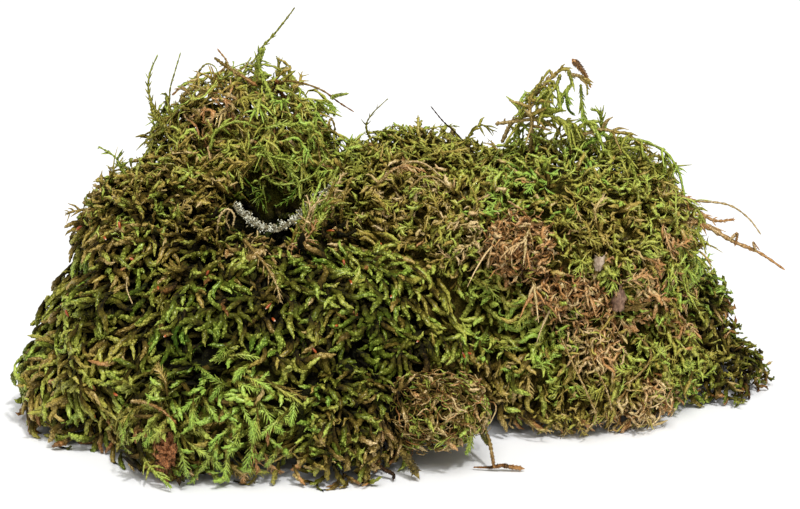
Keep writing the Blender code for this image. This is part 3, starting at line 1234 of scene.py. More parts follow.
@dataclass(frozen=True)
class Growth:
    """What a solid carries: each kind of shoot, how many to a square metre, and its leaflets."""

    piece: str
    node: str
    slot: str
    mix: Mix
    seed: int
    tone: Tone | None = None
    tone_share: float = 0.85
    light: float = 0.0
    west: float = -1.0
    east: float = 1.0
    bottom: float = -1.0
    top: float = 1.0
    south: bool | None = None
    divide: float = 30 * MM
    lump_size: float = 9 * MM
    relief: float = 1.2 * MM
    spread: float = 0.035
    airy_above: float = 1.0

    HOLLOW_THINNING = 0.8
    FADE = 6 * MM
    UNDERGROWTH_FOOT = 4 * MM
    LUMPS = (-2.2, 1.4)

    def build(self, ground: Ground, cover: Cover, finish: bpy.types.Material) -> None:
        """Builds the piece between its limits, and before or behind the divide.

        Args:
            ground: the solids.
            cover: the tones.
            finish: the material.
        """
        rng = np.random.default_rng(self.seed)
        batches = []
        for habit, density, feather in self.mix:
            seeds = self._chosen(ground.seeds(self.node, density, rng), habit, cover, rng)
            tone, light = cover.tones(seeds.places, rng)
            if self.tone is not None:
                own = self.tone + self.spread * rng.normal(size=len(tone))
                tone = np.where(rng.uniform(size=len(tone)) < self.tone_share, own, tone)
            if habit is UNDERGROWTH:
                tone = tone + 0.5 * (Tone.OLIVE_BROWN - tone)
            else:
                lumps = np.clip(Drift(self.lump_size, 41).at(seeds.places), *self.LUMPS)
                seeds = Seeds(seeds.places, seeds.ways, seeds.raised + self.relief * lumps)
                # Painted light and shade: shoots raised on the lumps are a little brighter, those in the
                # hollows between them darker.
                light = light + 0.05 * lumps
            stems = habit.grow(seeds, tone, rng, light + self.light)
            batches.append(stems)
            if feather is not None:
                batches.append(feather.on(stems, rng))
        hang(put_piece(self.piece, batches, finish), self.slot, self.node)

    def _chosen(self, seeds: Seeds, habit: Habit, cover: Cover, rng: np.random.Generator) -> Seeds:
        """The seeds between the piece's limits, fewer in the hollow and where the moss is airy.

        Args:
            seeds: all of the solid's seeds.
            habit: the kind of shoot.
            cover: where the hollow and the bare spot are.
            rng: where the random numbers come from.

        Returns:
            The seeds that grow.
        """
        x, y, z = seeds.places.T
        keep = (x >= self.west) & (x < self.east) & (z >= self.bottom) & (z < self.top)
        keep &= ~cover.bare(seeds.places)
        if self.south is not None:
            keep &= (y < self.divide) == self.south
        keep &= rng.uniform(size=len(x)) > self.HOLLOW_THINNING * cover.hollow.dark(seeds.places)
        thin = smooth_step(z, self.airy_above - self.FADE, self.airy_above + self.FADE)
        keep &= rng.uniform(size=len(x)) > thin * (0.85 if habit is UNDERGROWTH else 0.5)
        keep &= (z > self.UNDERGROWTH_FOOT) | (habit is not UNDERGROWTH)
        return seeds.kept(keep)


FRONT = ((CATKIN, 1.1e5, None), (UNDERGROWTH, 0.9e5, None))
SHOULDER = (
    (SLENDER, 0.95e5, None), (CRUMBS, 1.2e5, None), (SHORT_CATKIN, 0.25e5, None),
    (SPRAY_STEM, 0.2e5, FINE_SPRAYS), (TUFT_STEM, 0.035e5, TUFTED), (UNDERGROWTH, 0.75e5, None),
)
BRINK = (
    (SLENDER, 0.9e5, None), (CRUMBS, 0.8e5, None), (SHORT_CATKIN, 0.5e5, None), (TUFT_STEM, 0.04e5, TUFTED),
    (UNDERGROWTH, 1e5, None),
)
SLOPE = (
    (CATKIN, 0.55e5, None), (SHORT_CATKIN, 0.45e5, None), (SLENDER, 0.4e5, None),
    (SPRAY_STEM, 0.1e5, FINE_SPRAYS), (UNDERGROWTH, 0.8e5, None),
)
BACK = ((SHORT_CATKIN, 0.54e5, None), (UNDERGROWTH, 0.5e5, None), (SLENDER, 0.15e5, None))
GROWTHS = (
    Growth("front_cushion_west", "front_cushion", "live_green", FRONT, 11, east=-50 * MM, top=62 * MM),
    Growth("front_cushion_east", "front_cushion", "live_green", FRONT, 21, west=-50 * MM, top=62 * MM),
    Growth("front_cushion_top", "front_cushion", "olive", BRINK, 26, bottom=62 * MM),
    Growth("left_lobe_shoots", "left_lobe", "live_green", FRONT, 12),
    Growth(
        "front_tuft_fronds", "front_tuft", "fresh_green",
        ((FROND_STEM, 0.28e5, LEAFY_FRONDS), (SHORT_CATKIN, 0.5e5, None), (UNDERGROWTH, 0.9e5, None)), 13,
        light=0.05,
    ),
    Growth(
        "front_foot_shoots", "front_foot", "olive",
        ((SHORT_CATKIN, 1.1e5, None), (SLENDER, 0.4e5, None), (UNDERGROWTH, 0.9e5, None)), 14, light=-0.05,
    ),
    Growth(
        "right_shoulder_west", "right_shoulder", "fresh_green", SHOULDER, 15, east=46 * MM, bottom=50 * MM,
        south=True,
    ),
    Growth(
        "right_shoulder_slope", "right_shoulder", "fresh_green", SLOPE, 27, east=46 * MM, top=50 * MM,
        south=True, light=-0.07,
    ),
    Growth(
        "right_shoulder_east", "right_shoulder", "fresh_green", SHOULDER, 25, west=46 * MM, south=True,
        airy_above=79 * MM,
    ),
    Growth("right_shoulder_back", "right_shoulder", "fresh_green", BACK, 23, south=False),
    Growth(
        "right_lobe_shoots", "right_lobe", "olive",
        ((SLENDER, 0.9e5, None), (SHORT_CATKIN, 0.4e5, None), (UNDERGROWTH, 0.8e5, None)), 16, light=-0.25,
    ),
    Growth(
        "crown_tuft_shoots", "crown_tuft", "pale_green",
        (
            (STRINGY, 0.35e5, None), (SLENDER, 0.8e5, None), (SHRED, 0.35e5, None), (CRUMBS, 1e5, None),
            (SPRAY_STEM, 0.14e5, BUSHY), (TUFT_STEM, 0.05e5, TUFTED), (UNDERGROWTH, 0.55e5, None),
        ),
        17, lump_size=12 * MM, relief=2.4 * MM, airy_above=92 * MM,
    ),
    Growth("back_cushion_shoots", "back_cushion", "live_green", BACK, 18),
    Growth(
        "withered_curls", "withered_patch", "dead_brown",
        (
            (SHRED, 1.1e5, None), (SPRAY_STEM, 0.12e5, RAGGED), (CURLED, 1.8e5, None), (CRUMBS, 1.8e5, None),
            (UNDERGROWTH, 0.6e5, None),
        ),
        19, tone=Tone.DEAD, tone_share=0.78, spread=0.08, light=0.1,
    ),
    Growth(
        "straw_thatch", "straw_patch", "straw",
        ((THATCH, 2.2e5, None), (CRUMBS, 1.6e5, None), (UNDERGROWTH, 0.6e5, None)), 20, tone=Tone.STRAW,
        tone_share=0.65, spread=0.06,
    ),
    Growth(
        "root_fibre_mat", "root_fibres", "root_grey",
        (
            (ROOTLET, 3.2e5, None), (SHORT_CATKIN, 0.55e5, None), (SLENDER, 0.4e5, None),
            (UNDERGROWTH, 0.8e5, None),
        ),
        22, tone=Tone.STRAW, tone_share=0.45, spread=0.09, light=0.06,
    ),
)


@dataclass
class Felt:
    """The felt of old stems inside, dark in its own colour and darker with painted shade: the solids made
    one, then drawn in all round, so that gaps look deep.
    """

    names: tuple[str, ...]
    weld: float = 0.01 * MM
    pitch: float = 3.2 * MM
    smoothings: int = 4
    inset: float = 6.5 * MM
    airy: tuple[tuple[tuple[float, float, float], float], ...] = (
        ((-50, 30, 92), 30),
        ((60, 12, 88), 26),
        ((96, 4, 62), 20),
        ((-84, 0, 84), 14),
    )
    airy_inset: float = 6 * MM
    low_top: float = 80 * MM
    lump_height: float = 0.8 * MM
    lump_size: float = 6 * MM
    lowest: float = 0.8 * MM
    seed: int = 51

    def build(self, cover: Cover, finish: bpy.types.Material) -> None:
        """Joins, remeshes, draws in, remeshes again, and gives it lumps and its tones: near-black painted
        shade, brighter under the cover's painted light.

        Args:
            cover: the tones.
            finish: the material.
        """
        whole = put_mesh("felt", *joined([arrays_of(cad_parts[name].data) for name in self.names]), None)
        self._edit(whole, self._weld)
        self._remesh(whole)
        self._edit(whole, self._draw_in)
        self._remesh(whole)
        self._edit(whole, self._keep_largest)
        points, triangles = arrays_of(whole.data)
        bpy.data.objects.remove(whole)
        rng = np.random.default_rng(self.seed)
        for axis in range(3):
            points[:, axis] += self.lump_height * Drift(self.lump_size, self.seed + 1 + axis).at(points)
        points[:, 2] = np.maximum(points[:, 2], self.lowest)
        tone, light = cover.tones(points, rng)
        tone = tone + 0.6 * (Tone.OLIVE_BROWN - tone)
        # Painted shade: the felt is near-black, brighter only where the cover paints light.
        bright = np.clip(0.05 + 0.9 * light + 0.03 * rng.normal(size=len(points)), 0.02, 0.4)
        felt = put_mesh("old_stem_felt", points, triangles, np.stack([bright, tone], axis=-1))
        felt.data.materials.append(finish)
        hang(felt, "humus", "thatch_pad")

    def _edit(self, piece: bpy.types.Object, change: Callable[[bmesh.types.BMesh], None]) -> None:
        """Makes one change to the piece's mesh.

        Args:
            piece: the piece.
            change: what changes the mesh.
        """
        bm = bmesh.new()
        bm.from_mesh(piece.data)
        change(bm)
        bm.to_mesh(piece.data)
        bm.free()

    def _remesh(self, piece: bpy.types.Object) -> None:
        """Makes the piece one closed skin of even faces.

        Args:
            piece: the piece.
        """
        modifier = piece.modifiers.new("Remesh", "REMESH")
        modifier.mode = "VOXEL"
        modifier.voxel_size = self.pitch
        graph = bpy.context.evaluated_depsgraph_get()
        made = bpy.data.meshes.new_from_object(piece.evaluated_get(graph), depsgraph=graph)
        piece.modifiers.clear()
        piece.data = made

    def _weld(self, bm: bmesh.types.BMesh) -> None:
        """Joins vertices that meet."""
        bmesh.ops.remove_doubles(bm, verts=bm.verts, dist=self.weld)

    def _draw_in(self, bm: bmesh.types.BMesh) -> None:
        """Smooths the skin and draws it in, further where the moss is airy, and lower at the top.

        Args:
            bm: the felt's mesh.
        """
        axes = {"use_axis_x": True, "use_axis_y": True, "use_axis_z": True}
        for _ in range(self.smoothings):
            bmesh.ops.smooth_vert(bm, verts=bm.verts, factor=0.5, **axes)
        bm.normal_update()
        places = np.array([vertex.co for vertex in bm.verts])
        inset = np.full(len(places), self.inset)
        for centre, radius in self.airy:
            inset = inset + self.airy_inset * (1 - smooth_step(away_from(places, centre, radius), 0.6, 1.2))
        steps = [(vertex, vertex.normal.copy()) for vertex in bm.verts]
        for (vertex, normal), step in zip(steps, inset.tolist()):
            vertex.co -= normal * step
            vertex.co.z = max(vertex.co.z, NEAR_FLOOR) - 0.8 * max(vertex.co.z - self.low_top, 0)

    def _keep_largest(self, bm: bmesh.types.BMesh) -> None:
        """Drops every island but the largest.

        Args:
            bm: the felt's mesh.
        """
        left = set(bm.verts)
        islands = []
        while left:
            island, edge = set(), [left.pop()]
            while edge:
                vertex = edge.pop()
                island.add(vertex)
                near = {link.other_vert(vertex) for link in vertex.link_edges} & left
                left -= near
                edge.extend(near)
            islands.append(island)
        islands.sort(key=len)
        spare = [vertex for island in islands[:-1] for vertex in island]
        bmesh.ops.delete(bm, geom=spare, context="VERTS")


SMALL_LEAVES = Feather(12, mm(1.5, 2.6), 0.9 * MM, 0.6, 0.08, 0.0, rings=3)
SPARSE_TWIGS = Feather(5, mm(1.5, 3.6), 0.7 * MM, 0.8, 0.3, 0.0)


@dataclass(frozen=True)
class Stem:
    """One stem of a sprig, with its route in millimetres."""

    route: tuple
    width: Span
    tone: Tone | Span
    shade: Span = (0.4, 0.7)
    feather: Feather | None = None


def stems_of(stems: tuple[Stem, ...], seed: int) -> list[Strands]:
    """The strands of several stems, with their leaflets.

    Args:
        stems: the stems.
        seed: where the leaflets' random numbers start.

    Returns:
        The strands.
    """
    made = []
    for number, stem in enumerate(stems):
        strand = routed(stem.route, stem.width, stem.tone, stem.shade, sides=4, scale=0.24, flat=0.7)
        made.append(strand)
        if stem.feather is not None:
            made.append(stem.feather.on(strand, np.random.default_rng(100 * seed + number)))
    return made


@dataclass(frozen=True)
class Sprig:
    """A sprig that stands clear of the clump: its stems, and the CAD node that it stands for."""

    node: str
    slot: str
    stems: tuple[Stem, ...]

    def build(self, finish: bpy.types.Material, seed: int) -> None:
        """Builds the sprig as one piece."""
        hang(put_piece(f"{self.node}_leafy", stems_of(self.stems, seed), finish), self.slot, self.node)


LUSH = Feather(10, mm(2.8, 5.6), 1.7 * MM, 0.8, 0.03, 0.4, 0.08, rings=5, ragged=0.6)

THICK = mm(1.7, 0.9)
THIN = mm(1.0, 0.5)
THREAD = mm(0.6, 0.35)
GREENING = (Tone.OLIVE_BROWN, Tone.YELLOW_GREEN)
BROWNING = (Tone.OLIVE, Tone.DEAD)
DEAD_TONE = (Tone.STRAW, Tone.DEAD)

OLIVE_STEM = (mm(1.2, 0.8), (Tone.OLIVE, Tone.YELLOW_GREEN), (0.8, 0.9))
BROWN_STEM = (mm(1.4, 0.9), (Tone.STRAW, Tone.OLIVE), (0.75, 0.9))
FRESH_STEM = (mm(1.2, 0.8), (Tone.OLIVE, Tone.FRESH), (0.8, 0.95))
THIN_OLIVE = (THIN, Tone.OLIVE, (0.7, 0.85))
THIN_GREEN = (THIN, Tone.YELLOW_GREEN, (0.75, 0.85))
THIN_DEAD = (THIN, DEAD_TONE, (0.7, 0.85))
TWIG = (mm(1.4, 1.0), (Tone.OLIVE_BROWN, Tone.DEAD), (0.55, 0.7))

SPRIGS = (
    Sprig("arch_sprig", "pale_green", (
        Stem(((40, 14, 78), (38, 10, 88), (39, 7, 95), (41, 7, 101), (45, 7, 106)), *OLIVE_STEM, LUSH),
        Stem(((42, 12, 80), (42, 6, 92), (41, 5, 99), (43, 5, 104), (47, 5, 110)), *BROWN_STEM, LUSH),
        Stem(((45, 6, 94), (43, 5, 99), (42, 6, 102), (40, 6, 101)), *OLIVE_STEM, RAGGED),
        Stem(((39, 7, 92), (38, 6, 96), (38, 6, 99), (40, 7, 102)), *FRESH_STEM, RAGGED),
        Stem(((44, 5, 92), (46, 5, 98), (45, 5, 103)), *FRESH_STEM, LUSH),
        Stem(((43, 8, 101), (46, 7, 105), (49, 7, 108), (52, 7, 110), (55, 7, 107)), *BROWN_STEM, RAGGED),
        Stem(((55, 8, 112), (57, 7, 110), (59, 8, 107), (60.5, 9, 103.5)), mm(2.4, 0.9), Tone.DEAD,
             (0.88, 0.95)),
        Stem(((54, 7, 108), (57, 6, 107.5), (59, 7, 105), (59.5, 8, 101.5)), *BROWN_STEM, RAGGED),
        Stem(((53, 6, 109), (54.2, 5, 106), (52.6, 4, 102.5), (53.8, 4, 99)), *FRESH_STEM, RAGGED),
        Stem(((52.5, 5, 101), (53.5, 5, 97), (55.3, 5, 95.3)), mm(1.1, 0.8), Tone.FRESH, (0.7, 0.8)),
        Stem(((50.5, 6, 108), (49.5, 5, 104), (51.5, 5, 100), (49, 5, 96)), *FRESH_STEM, RAGGED),
        Stem(((48.5, 6, 106), (46.5, 5, 102), (48, 5, 96)), *OLIVE_STEM, LUSH),
        Stem(((45, 6, 101), (47, 5, 96), (51, 5, 93.5), (54, 6, 91), (55, 8, 87), (54, 10, 82)), *OLIVE_STEM,
             LUSH),
        Stem(((31, 10, 91), (36, 7, 92.5), (42, 6, 93.5), (47, 6, 92.5), (51, 7, 89), (52, 9, 83)),
             *BROWN_STEM, RAGGED),
        Stem(((39, 7, 92), (41, 7, 89.5), (43, 8, 87), (45, 9, 84)), *THIN_GREEN, RAGGED),
        Stem(((37, 8, 91), (38, 9, 87), (40, 10, 83)), *THIN_GREEN, RAGGED),
        Stem(((57.4, 9, 104), (57.8, 9, 100), (58.2, 8, 96), (59.5, 8, 92), (62, 8, 89)), *THIN_GREEN,
             SMALL_LEAVES),
        Stem(((55, 9, 85), (57, 8, 90), (60, 8, 92), (63, 8, 90), (67, 9, 86), (71, 9, 85.5)), *FRESH_STEM,
             LUSH),
        Stem(((58, 10, 82), (59, 9, 87), (59, 8, 92), (58, 8, 95)), *FRESH_STEM, RAGGED),
        Stem(((72, 9, 86.5), (70, 9, 84), (69, 10, 80)), *BROWN_STEM, RAGGED),
        Stem(((64, 10, 86), (64.5, 9, 92), (63.5, 8, 95.5), (61, 8, 96.3)), *THIN_GREEN, SMALL_LEAVES),
        Stem(((52, 10, 80), (56, 9, 85), (61, 9, 85.5), (64, 9, 82)), *OLIVE_STEM, RAGGED),
    )),
    Sprig("right_bow_sprig", "live_green", (
        Stem(((62, 8, 78), (67, 7, 83), (73, 6, 87), (79, 5, 86), (85, 4, 83), (89, 2, 77), (91, 0, 69)),
             *FRESH_STEM, RAGGED),
        Stem(((64, 6, 79), (70, 5, 84), (76, 5, 84), (80, 5, 80), (82, 5, 76)), *OLIVE_STEM, RAGGED),
        Stem(((70, 5, 72), (74, 4, 78), (80, 3, 79), (86, 2, 73), (89, 1, 66)), THIN, GREENING, (0.6, 0.8),
             RAGGED),
        Stem(((78, 5, 82), (76.5, 5, 76), (73, 6, 72)), THIN, Tone.OLIVE, (0.6, 0.7), SMALL_LEAVES),
        Stem(((84, 4, 80), (82, 3, 75), (83, 3, 70)), THIN, Tone.OLIVE, (0.6, 0.7), SMALL_LEAVES),
    )),
    Sprig("dry_runner", "straw", (
        Stem(((88, 2, 64), (98, -4, 61), (106, -7, 57), (114, -9, 54), (122, -11, 49)), mm(2.1, 0.8),
             DEAD_TONE, (0.75, 0.85), SPARSE_TWIGS),
        Stem(((86, 2, 67), (94, -2, 66), (100, -4, 63), (106, -6, 64)), mm(1.6, 0.8), DEAD_TONE, (0.7, 0.9),
             SPARSE_TWIGS),
        Stem(((84, 1, 72), (90, -1, 70), (95, -3, 69)), mm(1.6, 0.7), DEAD_TONE, (0.7, 0.85), RAGGED),
        Stem(((88, 0, 60), (94, -3, 62), (98, -5, 61)), mm(1.8, 1.0), DEAD_TONE, (0.7, 0.8), RAGGED),
        Stem(((105, -7, 57.5), (107, -8, 60), (106.5, -8, 56)), mm(1.3, 0.7), DEAD_TONE, (0.7, 0.85)),
        Stem(((113, -9, 54.5), (112, -9, 57.5), (114, -9, 55)), *THIN_DEAD),
    )),
    Sprig("dry_branch", "straw", (
        Stem(((86, 6, 66), (98, 3, 67), (106, 2, 66), (112, 1, 62), (116, 0, 57)), mm(0.9, 0.45), Tone.STRAW,
             (0.7, 0.85)),
    )),
    Sprig("twin_wisp_left", "live_green", (
        Stem(((-72, 16, 80), (-76, 14, 90), (-80, 13, 98), (-80, 12, 106), (-77, 12, 113)), THIN, GREENING,
             (0.7, 0.85), SMALL_LEAVES),
        Stem(((-76, 14, 89), (-79, 13, 93), (-80, 12, 99)), THICK, Tone.OLIVE, (0.7, 0.8), SMALL_LEAVES),
    )),
    Sprig("twin_wisp_right", "live_green", (
        Stem(((-70, 18, 80), (-74, 16, 91), (-74, 15, 100), (-72, 15, 107), (-70, 15, 113)), mm(0.8, 0.4),
             GREENING, (0.65, 0.8), Feather(6, mm(0.8, 1.6), 0.5 * MM, 0.7, 0.1, 0.0, rings=3)),
    )),
    Sprig("crown_wisp", "pale_green", (
        Stem(((-48, 30, 92), (-47, 29, 103), (-46, 28, 110), (-41, 27, 116), (-37, 27, 121), (-34, 27, 125)),
             mm(1.1, 0.4), (Tone.YELLOW_GREEN, Tone.OLIVE), (0.85, 0.75), SMALL_LEAVES),
        Stem(((-48, 28, 98), (-46, 27, 106), (-44, 26, 112)), mm(1.6, 1.0), Tone.YELLOW_GREEN, (0.85, 0.9),
             RAGGED),
    )),
    Sprig("bowed_wisp", "olive", (
        Stem(((-44, 26, 95), (-39, 24, 101), (-32, 21, 101.5), (-25, 19, 99.5), (-20, 18, 96), (-15, 17, 93)),
             mm(1.0, 0.4), (Tone.OLIVE_BROWN, Tone.DEAD), (0.5, 0.55),
             Feather(7, mm(0.8, 1.6), 0.6 * MM, 0.5, 0.1, 0.0, rings=3)),
        Stem(((-22, 18, 97.5), (-20, 17, 98.5), (-17, 17, 99)), THICK, Tone.YELLOW_GREEN, (0.8, 0.9)),
        Stem(((-40, 24, 101), (-39, 23, 98), (-37, 22, 95.5)), mm(2.4, 1.2),
             Tone.DEAD, (0.5, 0.7)),
    )),
    Sprig("shoulder_wisp", "live_green", (
        Stem(((-84, 2, 72), (-88, 0, 78), (-90, -1, 83), (-95, -2, 87)), mm(1.1, 0.5), Tone.YELLOW_GREEN,
             (0.7, 0.85), RAGGED),
    )),
    Sprig("ridge_wisp", "live_green", (
        Stem(((-8, 20, 80), (-11, 19, 87), (-9, 18, 92), (-4, 18, 97)), mm(1.0, 0.4), Tone.OLIVE,
             (0.65, 0.8), Feather(5, mm(1.5, 3.0), 0.6 * MM, 0.8, 0.2, 0.0, rings=3)),
    )),
    Sprig("dark_thread", "root_grey", (
        Stem(((24, 18, 79), (18, 17, 86), (14, 16, 90), (10, 16, 95)), THREAD, Tone.HUMUS, (0.4, 0.4)),
    )),
    Sprig("foot_twig", "bark", (
        Stem(((25, -47, 12), (27, -52, 9), (28, -55, 5), (28.5, -56, 1.8)), *TWIG),
        Stem(((28.5, -56, 1.6), (26, -55.5, 1.3), (22.5, -55, 1.1)), THIN, Tone.DEAD, (0.5, 0.7)),
        Stem(((28.5, -56, 1.6), (31, -56, 2.2), (33, -56, 1.8), (37, -56, 1.2)), mm(1.2, 1.5), Tone.DEAD,
             (0.6, 0.9)),
    )),
    Sprig("drooping_sprig", "olive", (
        Stem(((-4, -54, 12), (0, -59, 9), (3, -61.5, 6), (5, -62.5, 2.6)), mm(1.5, 2.8), Tone.OLIVE_BROWN,
             (0.65, 0.85)),
        Stem(((-9, -60, 6), (-5, -61, 3.5), (-2, -62, 2.2), (-2, -63, 1.2)), mm(1.5, 1.0), Tone.HUMUS,
             (0.5, 0.6)),
    )),
)

CROWN_STRAYS = (
    Stem(((-66, 28, 97), (-66, 25, 103), (-63, 24, 107), (-60, 24, 106), (-59, 24, 102)), THIN, GREENING,
         (0.6, 0.85)),
    Stem(((-61, 24, 98), (-60, 24, 103), (-56, 24, 107), (-59, 24, 112)), THIN, BROWNING, (0.6, 0.8)),
    Stem(((-60, 24, 109), (-56, 24, 106), (-52, 25, 103), (-47, 24, 100)), mm(1.0, 1.5),
         (Tone.OLIVE_BROWN, Tone.DEAD), (0.6, 0.75), SPARSE_TWIGS),
    Stem(((-45, 24, 112), (-46, 25, 106), (-44, 24, 101), (-41, 16, 97), (-40, 11, 91)), mm(1.4, 1.0),
         Tone.YELLOW_GREEN, (0.8, 0.95), SMALL_LEAVES),
    Stem(((-62, 22, 92), (-67, 22, 96), (-71, 24, 99), (-74, 24, 97)), mm(1.8, 1.0), BROWNING, (0.6, 0.75),
         SPARSE_TWIGS),
    Stem(((-66, 16, 93), (-71, 18, 94), (-75, 15, 90), (-77, 14, 87)), THIN, GREENING, (0.6, 0.8)),
    Stem(((-61, 8, 83), (-59, 8, 89), (-52, 9, 92), (-46, 9, 90)), mm(1.1, 0.7), Tone.YELLOW_GREEN,
         (0.8, 0.9), RAGGED),
    Stem(((-43, 8, 90), (-38, 9, 91), (-33, 11, 90.5), (-27, 17, 88)), mm(1.2, 0.8), Tone.YELLOW_GREEN,
         (0.75, 0.95), SMALL_LEAVES),
    Stem(((-45, 6, 86), (-42, 5, 82), (-36, 6, 80), (-31, 8, 79)), THIN, Tone.YELLOW_GREEN, (0.75, 0.9),
         RAGGED),
    Stem(((-44, 7, 75), (-40, 6, 72), (-34, 7, 72), (-28, 9, 74), (-25, 8, 79)), mm(1.2, 0.7),
         Tone.YELLOW_GREEN, (0.75, 0.9), SPARSE_TWIGS),
    Stem(((-50, 6, 74), (-46, 5, 69), (-43, 4, 63)), THREAD, Tone.FRESH, (0.5, 0.7), SPARSE_TWIGS),
    Stem(((-33, 8, 72), (-35, 5, 68), (-40, 4, 65)), THREAD, Tone.FRESH, (0.5, 0.7), SPARSE_TWIGS),
    Stem(((-40, 11, 84), (-37, 8, 78), (-33, 6, 73), (-32, 3, 68)), mm(1.2, 0.8), Tone.YELLOW_GREEN,
         (0.7, 0.9), SMALL_LEAVES),
    Stem(((-55, 9, 84), (-53, 6, 79), (-51, 2, 75), (-50, -2, 73)), mm(1.1, 0.7), GREENING, (0.6, 0.8),
         SMALL_LEAVES),
    Stem(((-20, 8, 77), (-22, 4, 73), (-24, -2, 69), (-28, -10, 67)), mm(1.3, 0.8),
         (Tone.YELLOW_GREEN, Tone.STRAW), (0.75, 0.95), SMALL_LEAVES),
)

RIDGE_LACE = (
    Stem(((59, 8, 88), (64, 7, 90), (69, 7, 89), (74, 7, 88), (72, 7, 83)), *BROWN_STEM, RAGGED),
    Stem(((50, 9, 86), (52, 8, 92), (56, 8, 91), (59, 7, 87)), *THIN_OLIVE, RAGGED),
    Stem(((58, 8, 83), (61, 7, 86), (64, 7, 88), (66, 7, 92)), THIN, Tone.FRESH, (0.7, 0.9), SMALL_LEAVES),
    Stem(((43, 10, 84), (47, 8, 92), (52, 7, 92), (54, 7, 87)), *OLIVE_STEM, RAGGED),
    Stem(((68, 7, 80), (67, 7, 85), (69, 7, 89)), *THIN_OLIVE, RAGGED),
    Stem(((75, 6, 86), (78, 6, 81), (81, 5, 76)), *THIN_OLIVE, RAGGED),
    Stem(((85, 4, 83), (84, 4, 77), (81, 4, 72)), THIN, Tone.YELLOW_GREEN, (0.7, 0.85), RAGGED),
    Stem(((88, 3, 80), (86, 2, 74), (90, 1, 70)), *THIN_OLIVE, RAGGED),
    Stem(((76, 6, 78), (81, 5, 82), (86, 4, 79), (88, 3, 74)), THIN, GREENING, (0.7, 0.85), SMALL_LEAVES),
    Stem(((33, 13, 84), (36, 11, 91), (41, 9, 94), (46, 9, 91)), *BROWN_STEM, SMALL_LEAVES),
    Stem(((21, 14, 83), (23, 13, 87), (26, 12, 90), (30, 12, 88)), *THIN_OLIVE, RAGGED),
    Stem(((91, 0, 68), (95, -3, 66), (96, -4, 62), (94, -5, 58)), *OLIVE_STEM, RAGGED),
    Stem(((-1, -1, 77), (1, -2, 81), (5, -2, 82), (9, -2, 80.5), (13, -2, 77)), THIN, Tone.STRAW, (0.7, 0.9)),
    Stem(((-7, -3, 75), (-2, -4, 80), (3, -4, 81), (8, -3, 79)), *THIN_DEAD, RAGGED),
    Stem(((3, -5, 74), (7, -6, 78), (11, -6, 78), (15, -5, 75)), THIN, Tone.STRAW, (0.6, 0.8)),
)

LOOSE_STRANDS = (
    Stem(((21, -56, 16), (21.5, -56, 12), (21, -55.5, 8.5), (20, -55.5, 6)), *FRESH_STEM, SMALL_LEAVES),
    Stem(((24, -54, 15), (25, -53, 11), (27, -52.5, 7.5)), mm(1.2, 1.5), Tone.OLIVE, (0.6, 0.75)),
    Stem(((-77, -62, 8), (-74, -66, 6), (-71, -69, 4.5), (-68, -70, 2)), *FRESH_STEM, RAGGED),
    Stem(((84, -2, 57), (90, -5, 54.5), (95, -7, 51.5), (97.5, -8, 51), (98.5, -8, 53)), *FRESH_STEM, RAGGED),
    Stem(((88, -3, 60), (93, -5, 60), (96, -6, 58), (97, -7, 55)), *OLIVE_STEM, RAGGED),
    Stem(((83, -4, 52), (88, -7, 50), (92, -8, 47.5), (94, -9, 44)), *FRESH_STEM, RAGGED),
    Stem(((-30, -15, 63), (-28, -15, 68), (-27, -13, 73), (-25, -9, 77)), *FRESH_STEM, SMALL_LEAVES),
    Stem(((-32, -17, 62), (-30, -19, 66), (-28, -17, 71), (-29, -15, 75)), THIN, Tone.STRAW, (0.7, 0.9),
         RAGGED),
    Stem(((-27, -16, 62), (-25, -16, 67), (-23, -13, 70), (-21, -9, 72)), *FRESH_STEM, SMALL_LEAVES),
    Stem(((-34, -20, 60), (-31, -21, 62), (-28, -21, 64), (-26, -19, 68)), THIN, DEAD_TONE, (0.7, 0.8),
         RAGGED),
    Stem(((-38, -21, 60), (-34, -22, 61), (-31, -23, 60)), THIN, DEAD_TONE, (0.6, 0.8), RAGGED),
    Stem(((-46, -20, 63), (-44, -22, 61), (-43, -24, 58)), THIN, DEAD_TONE, (0.6, 0.8), RAGGED),
    Stem(((-57, -17, 64), (-56, -18, 69), (-53.5, -18, 71.5), (-51.5, -18, 69.5), (-52, -18, 66)),
         mm(0.8, 0.7), Tone.STRAW, (0.85, 0.95)),
    Stem(((-53, -18, 71), (-54, -18, 68), (-53, -18, 65)), THREAD, Tone.STRAW, (0.8, 0.9)),
    Stem(((-48, -25, 64), (-44, -31, 61.5), (-40, -37, 59), (-37, -42, 55), (-36, -44, 51)), mm(1.3, 0.6),
         Tone.STRAW, (0.5, 0.75),
         Feather(9, mm(2.0, 3.4), 0.6 * MM, 0.9, 0.1, 0.7)),
    Stem(((-84, -29, 53), (-84, -31, 50), (-82, -34.5, 46.5)), THREAD, Tone.STRAW, (0.9, 0.9)),
    Stem(((-80, -59, 25), (-75, -62.5, 26), (-70, -66, 25), (-66, -68, 22)), mm(1.3, 0.8),
         DEAD_TONE, (0.7, 0.6)),
    Stem(((73, 2, 81), (74, -4, 79), (74.5, -11, 74.5), (74.5, -17.5, 69)), mm(1.5, 1.2),
         (Tone.YELLOW_GREEN, Tone.OLIVE), (0.75, 0.75)),
    Stem(((50, -32, 34), (54, -36, 26), (58, -38, 18), (61, -38, 10), (58, -38, 5)), mm(0.8, 0.6),
         Tone.STRAW, (0.65, 0.75)),
    Stem(((58, -30, 34), (60, -35, 27), (64, -37, 19), (66, -37, 12)), mm(0.7, 0.5), Tone.STRAW, (0.6, 0.75)),
    Stem(((74, -22, 32), (79, -26, 26), (74, -30, 20), (66, -34, 17)), mm(0.9, 0.6), Tone.STRAW, (0.5, 0.7)),
)


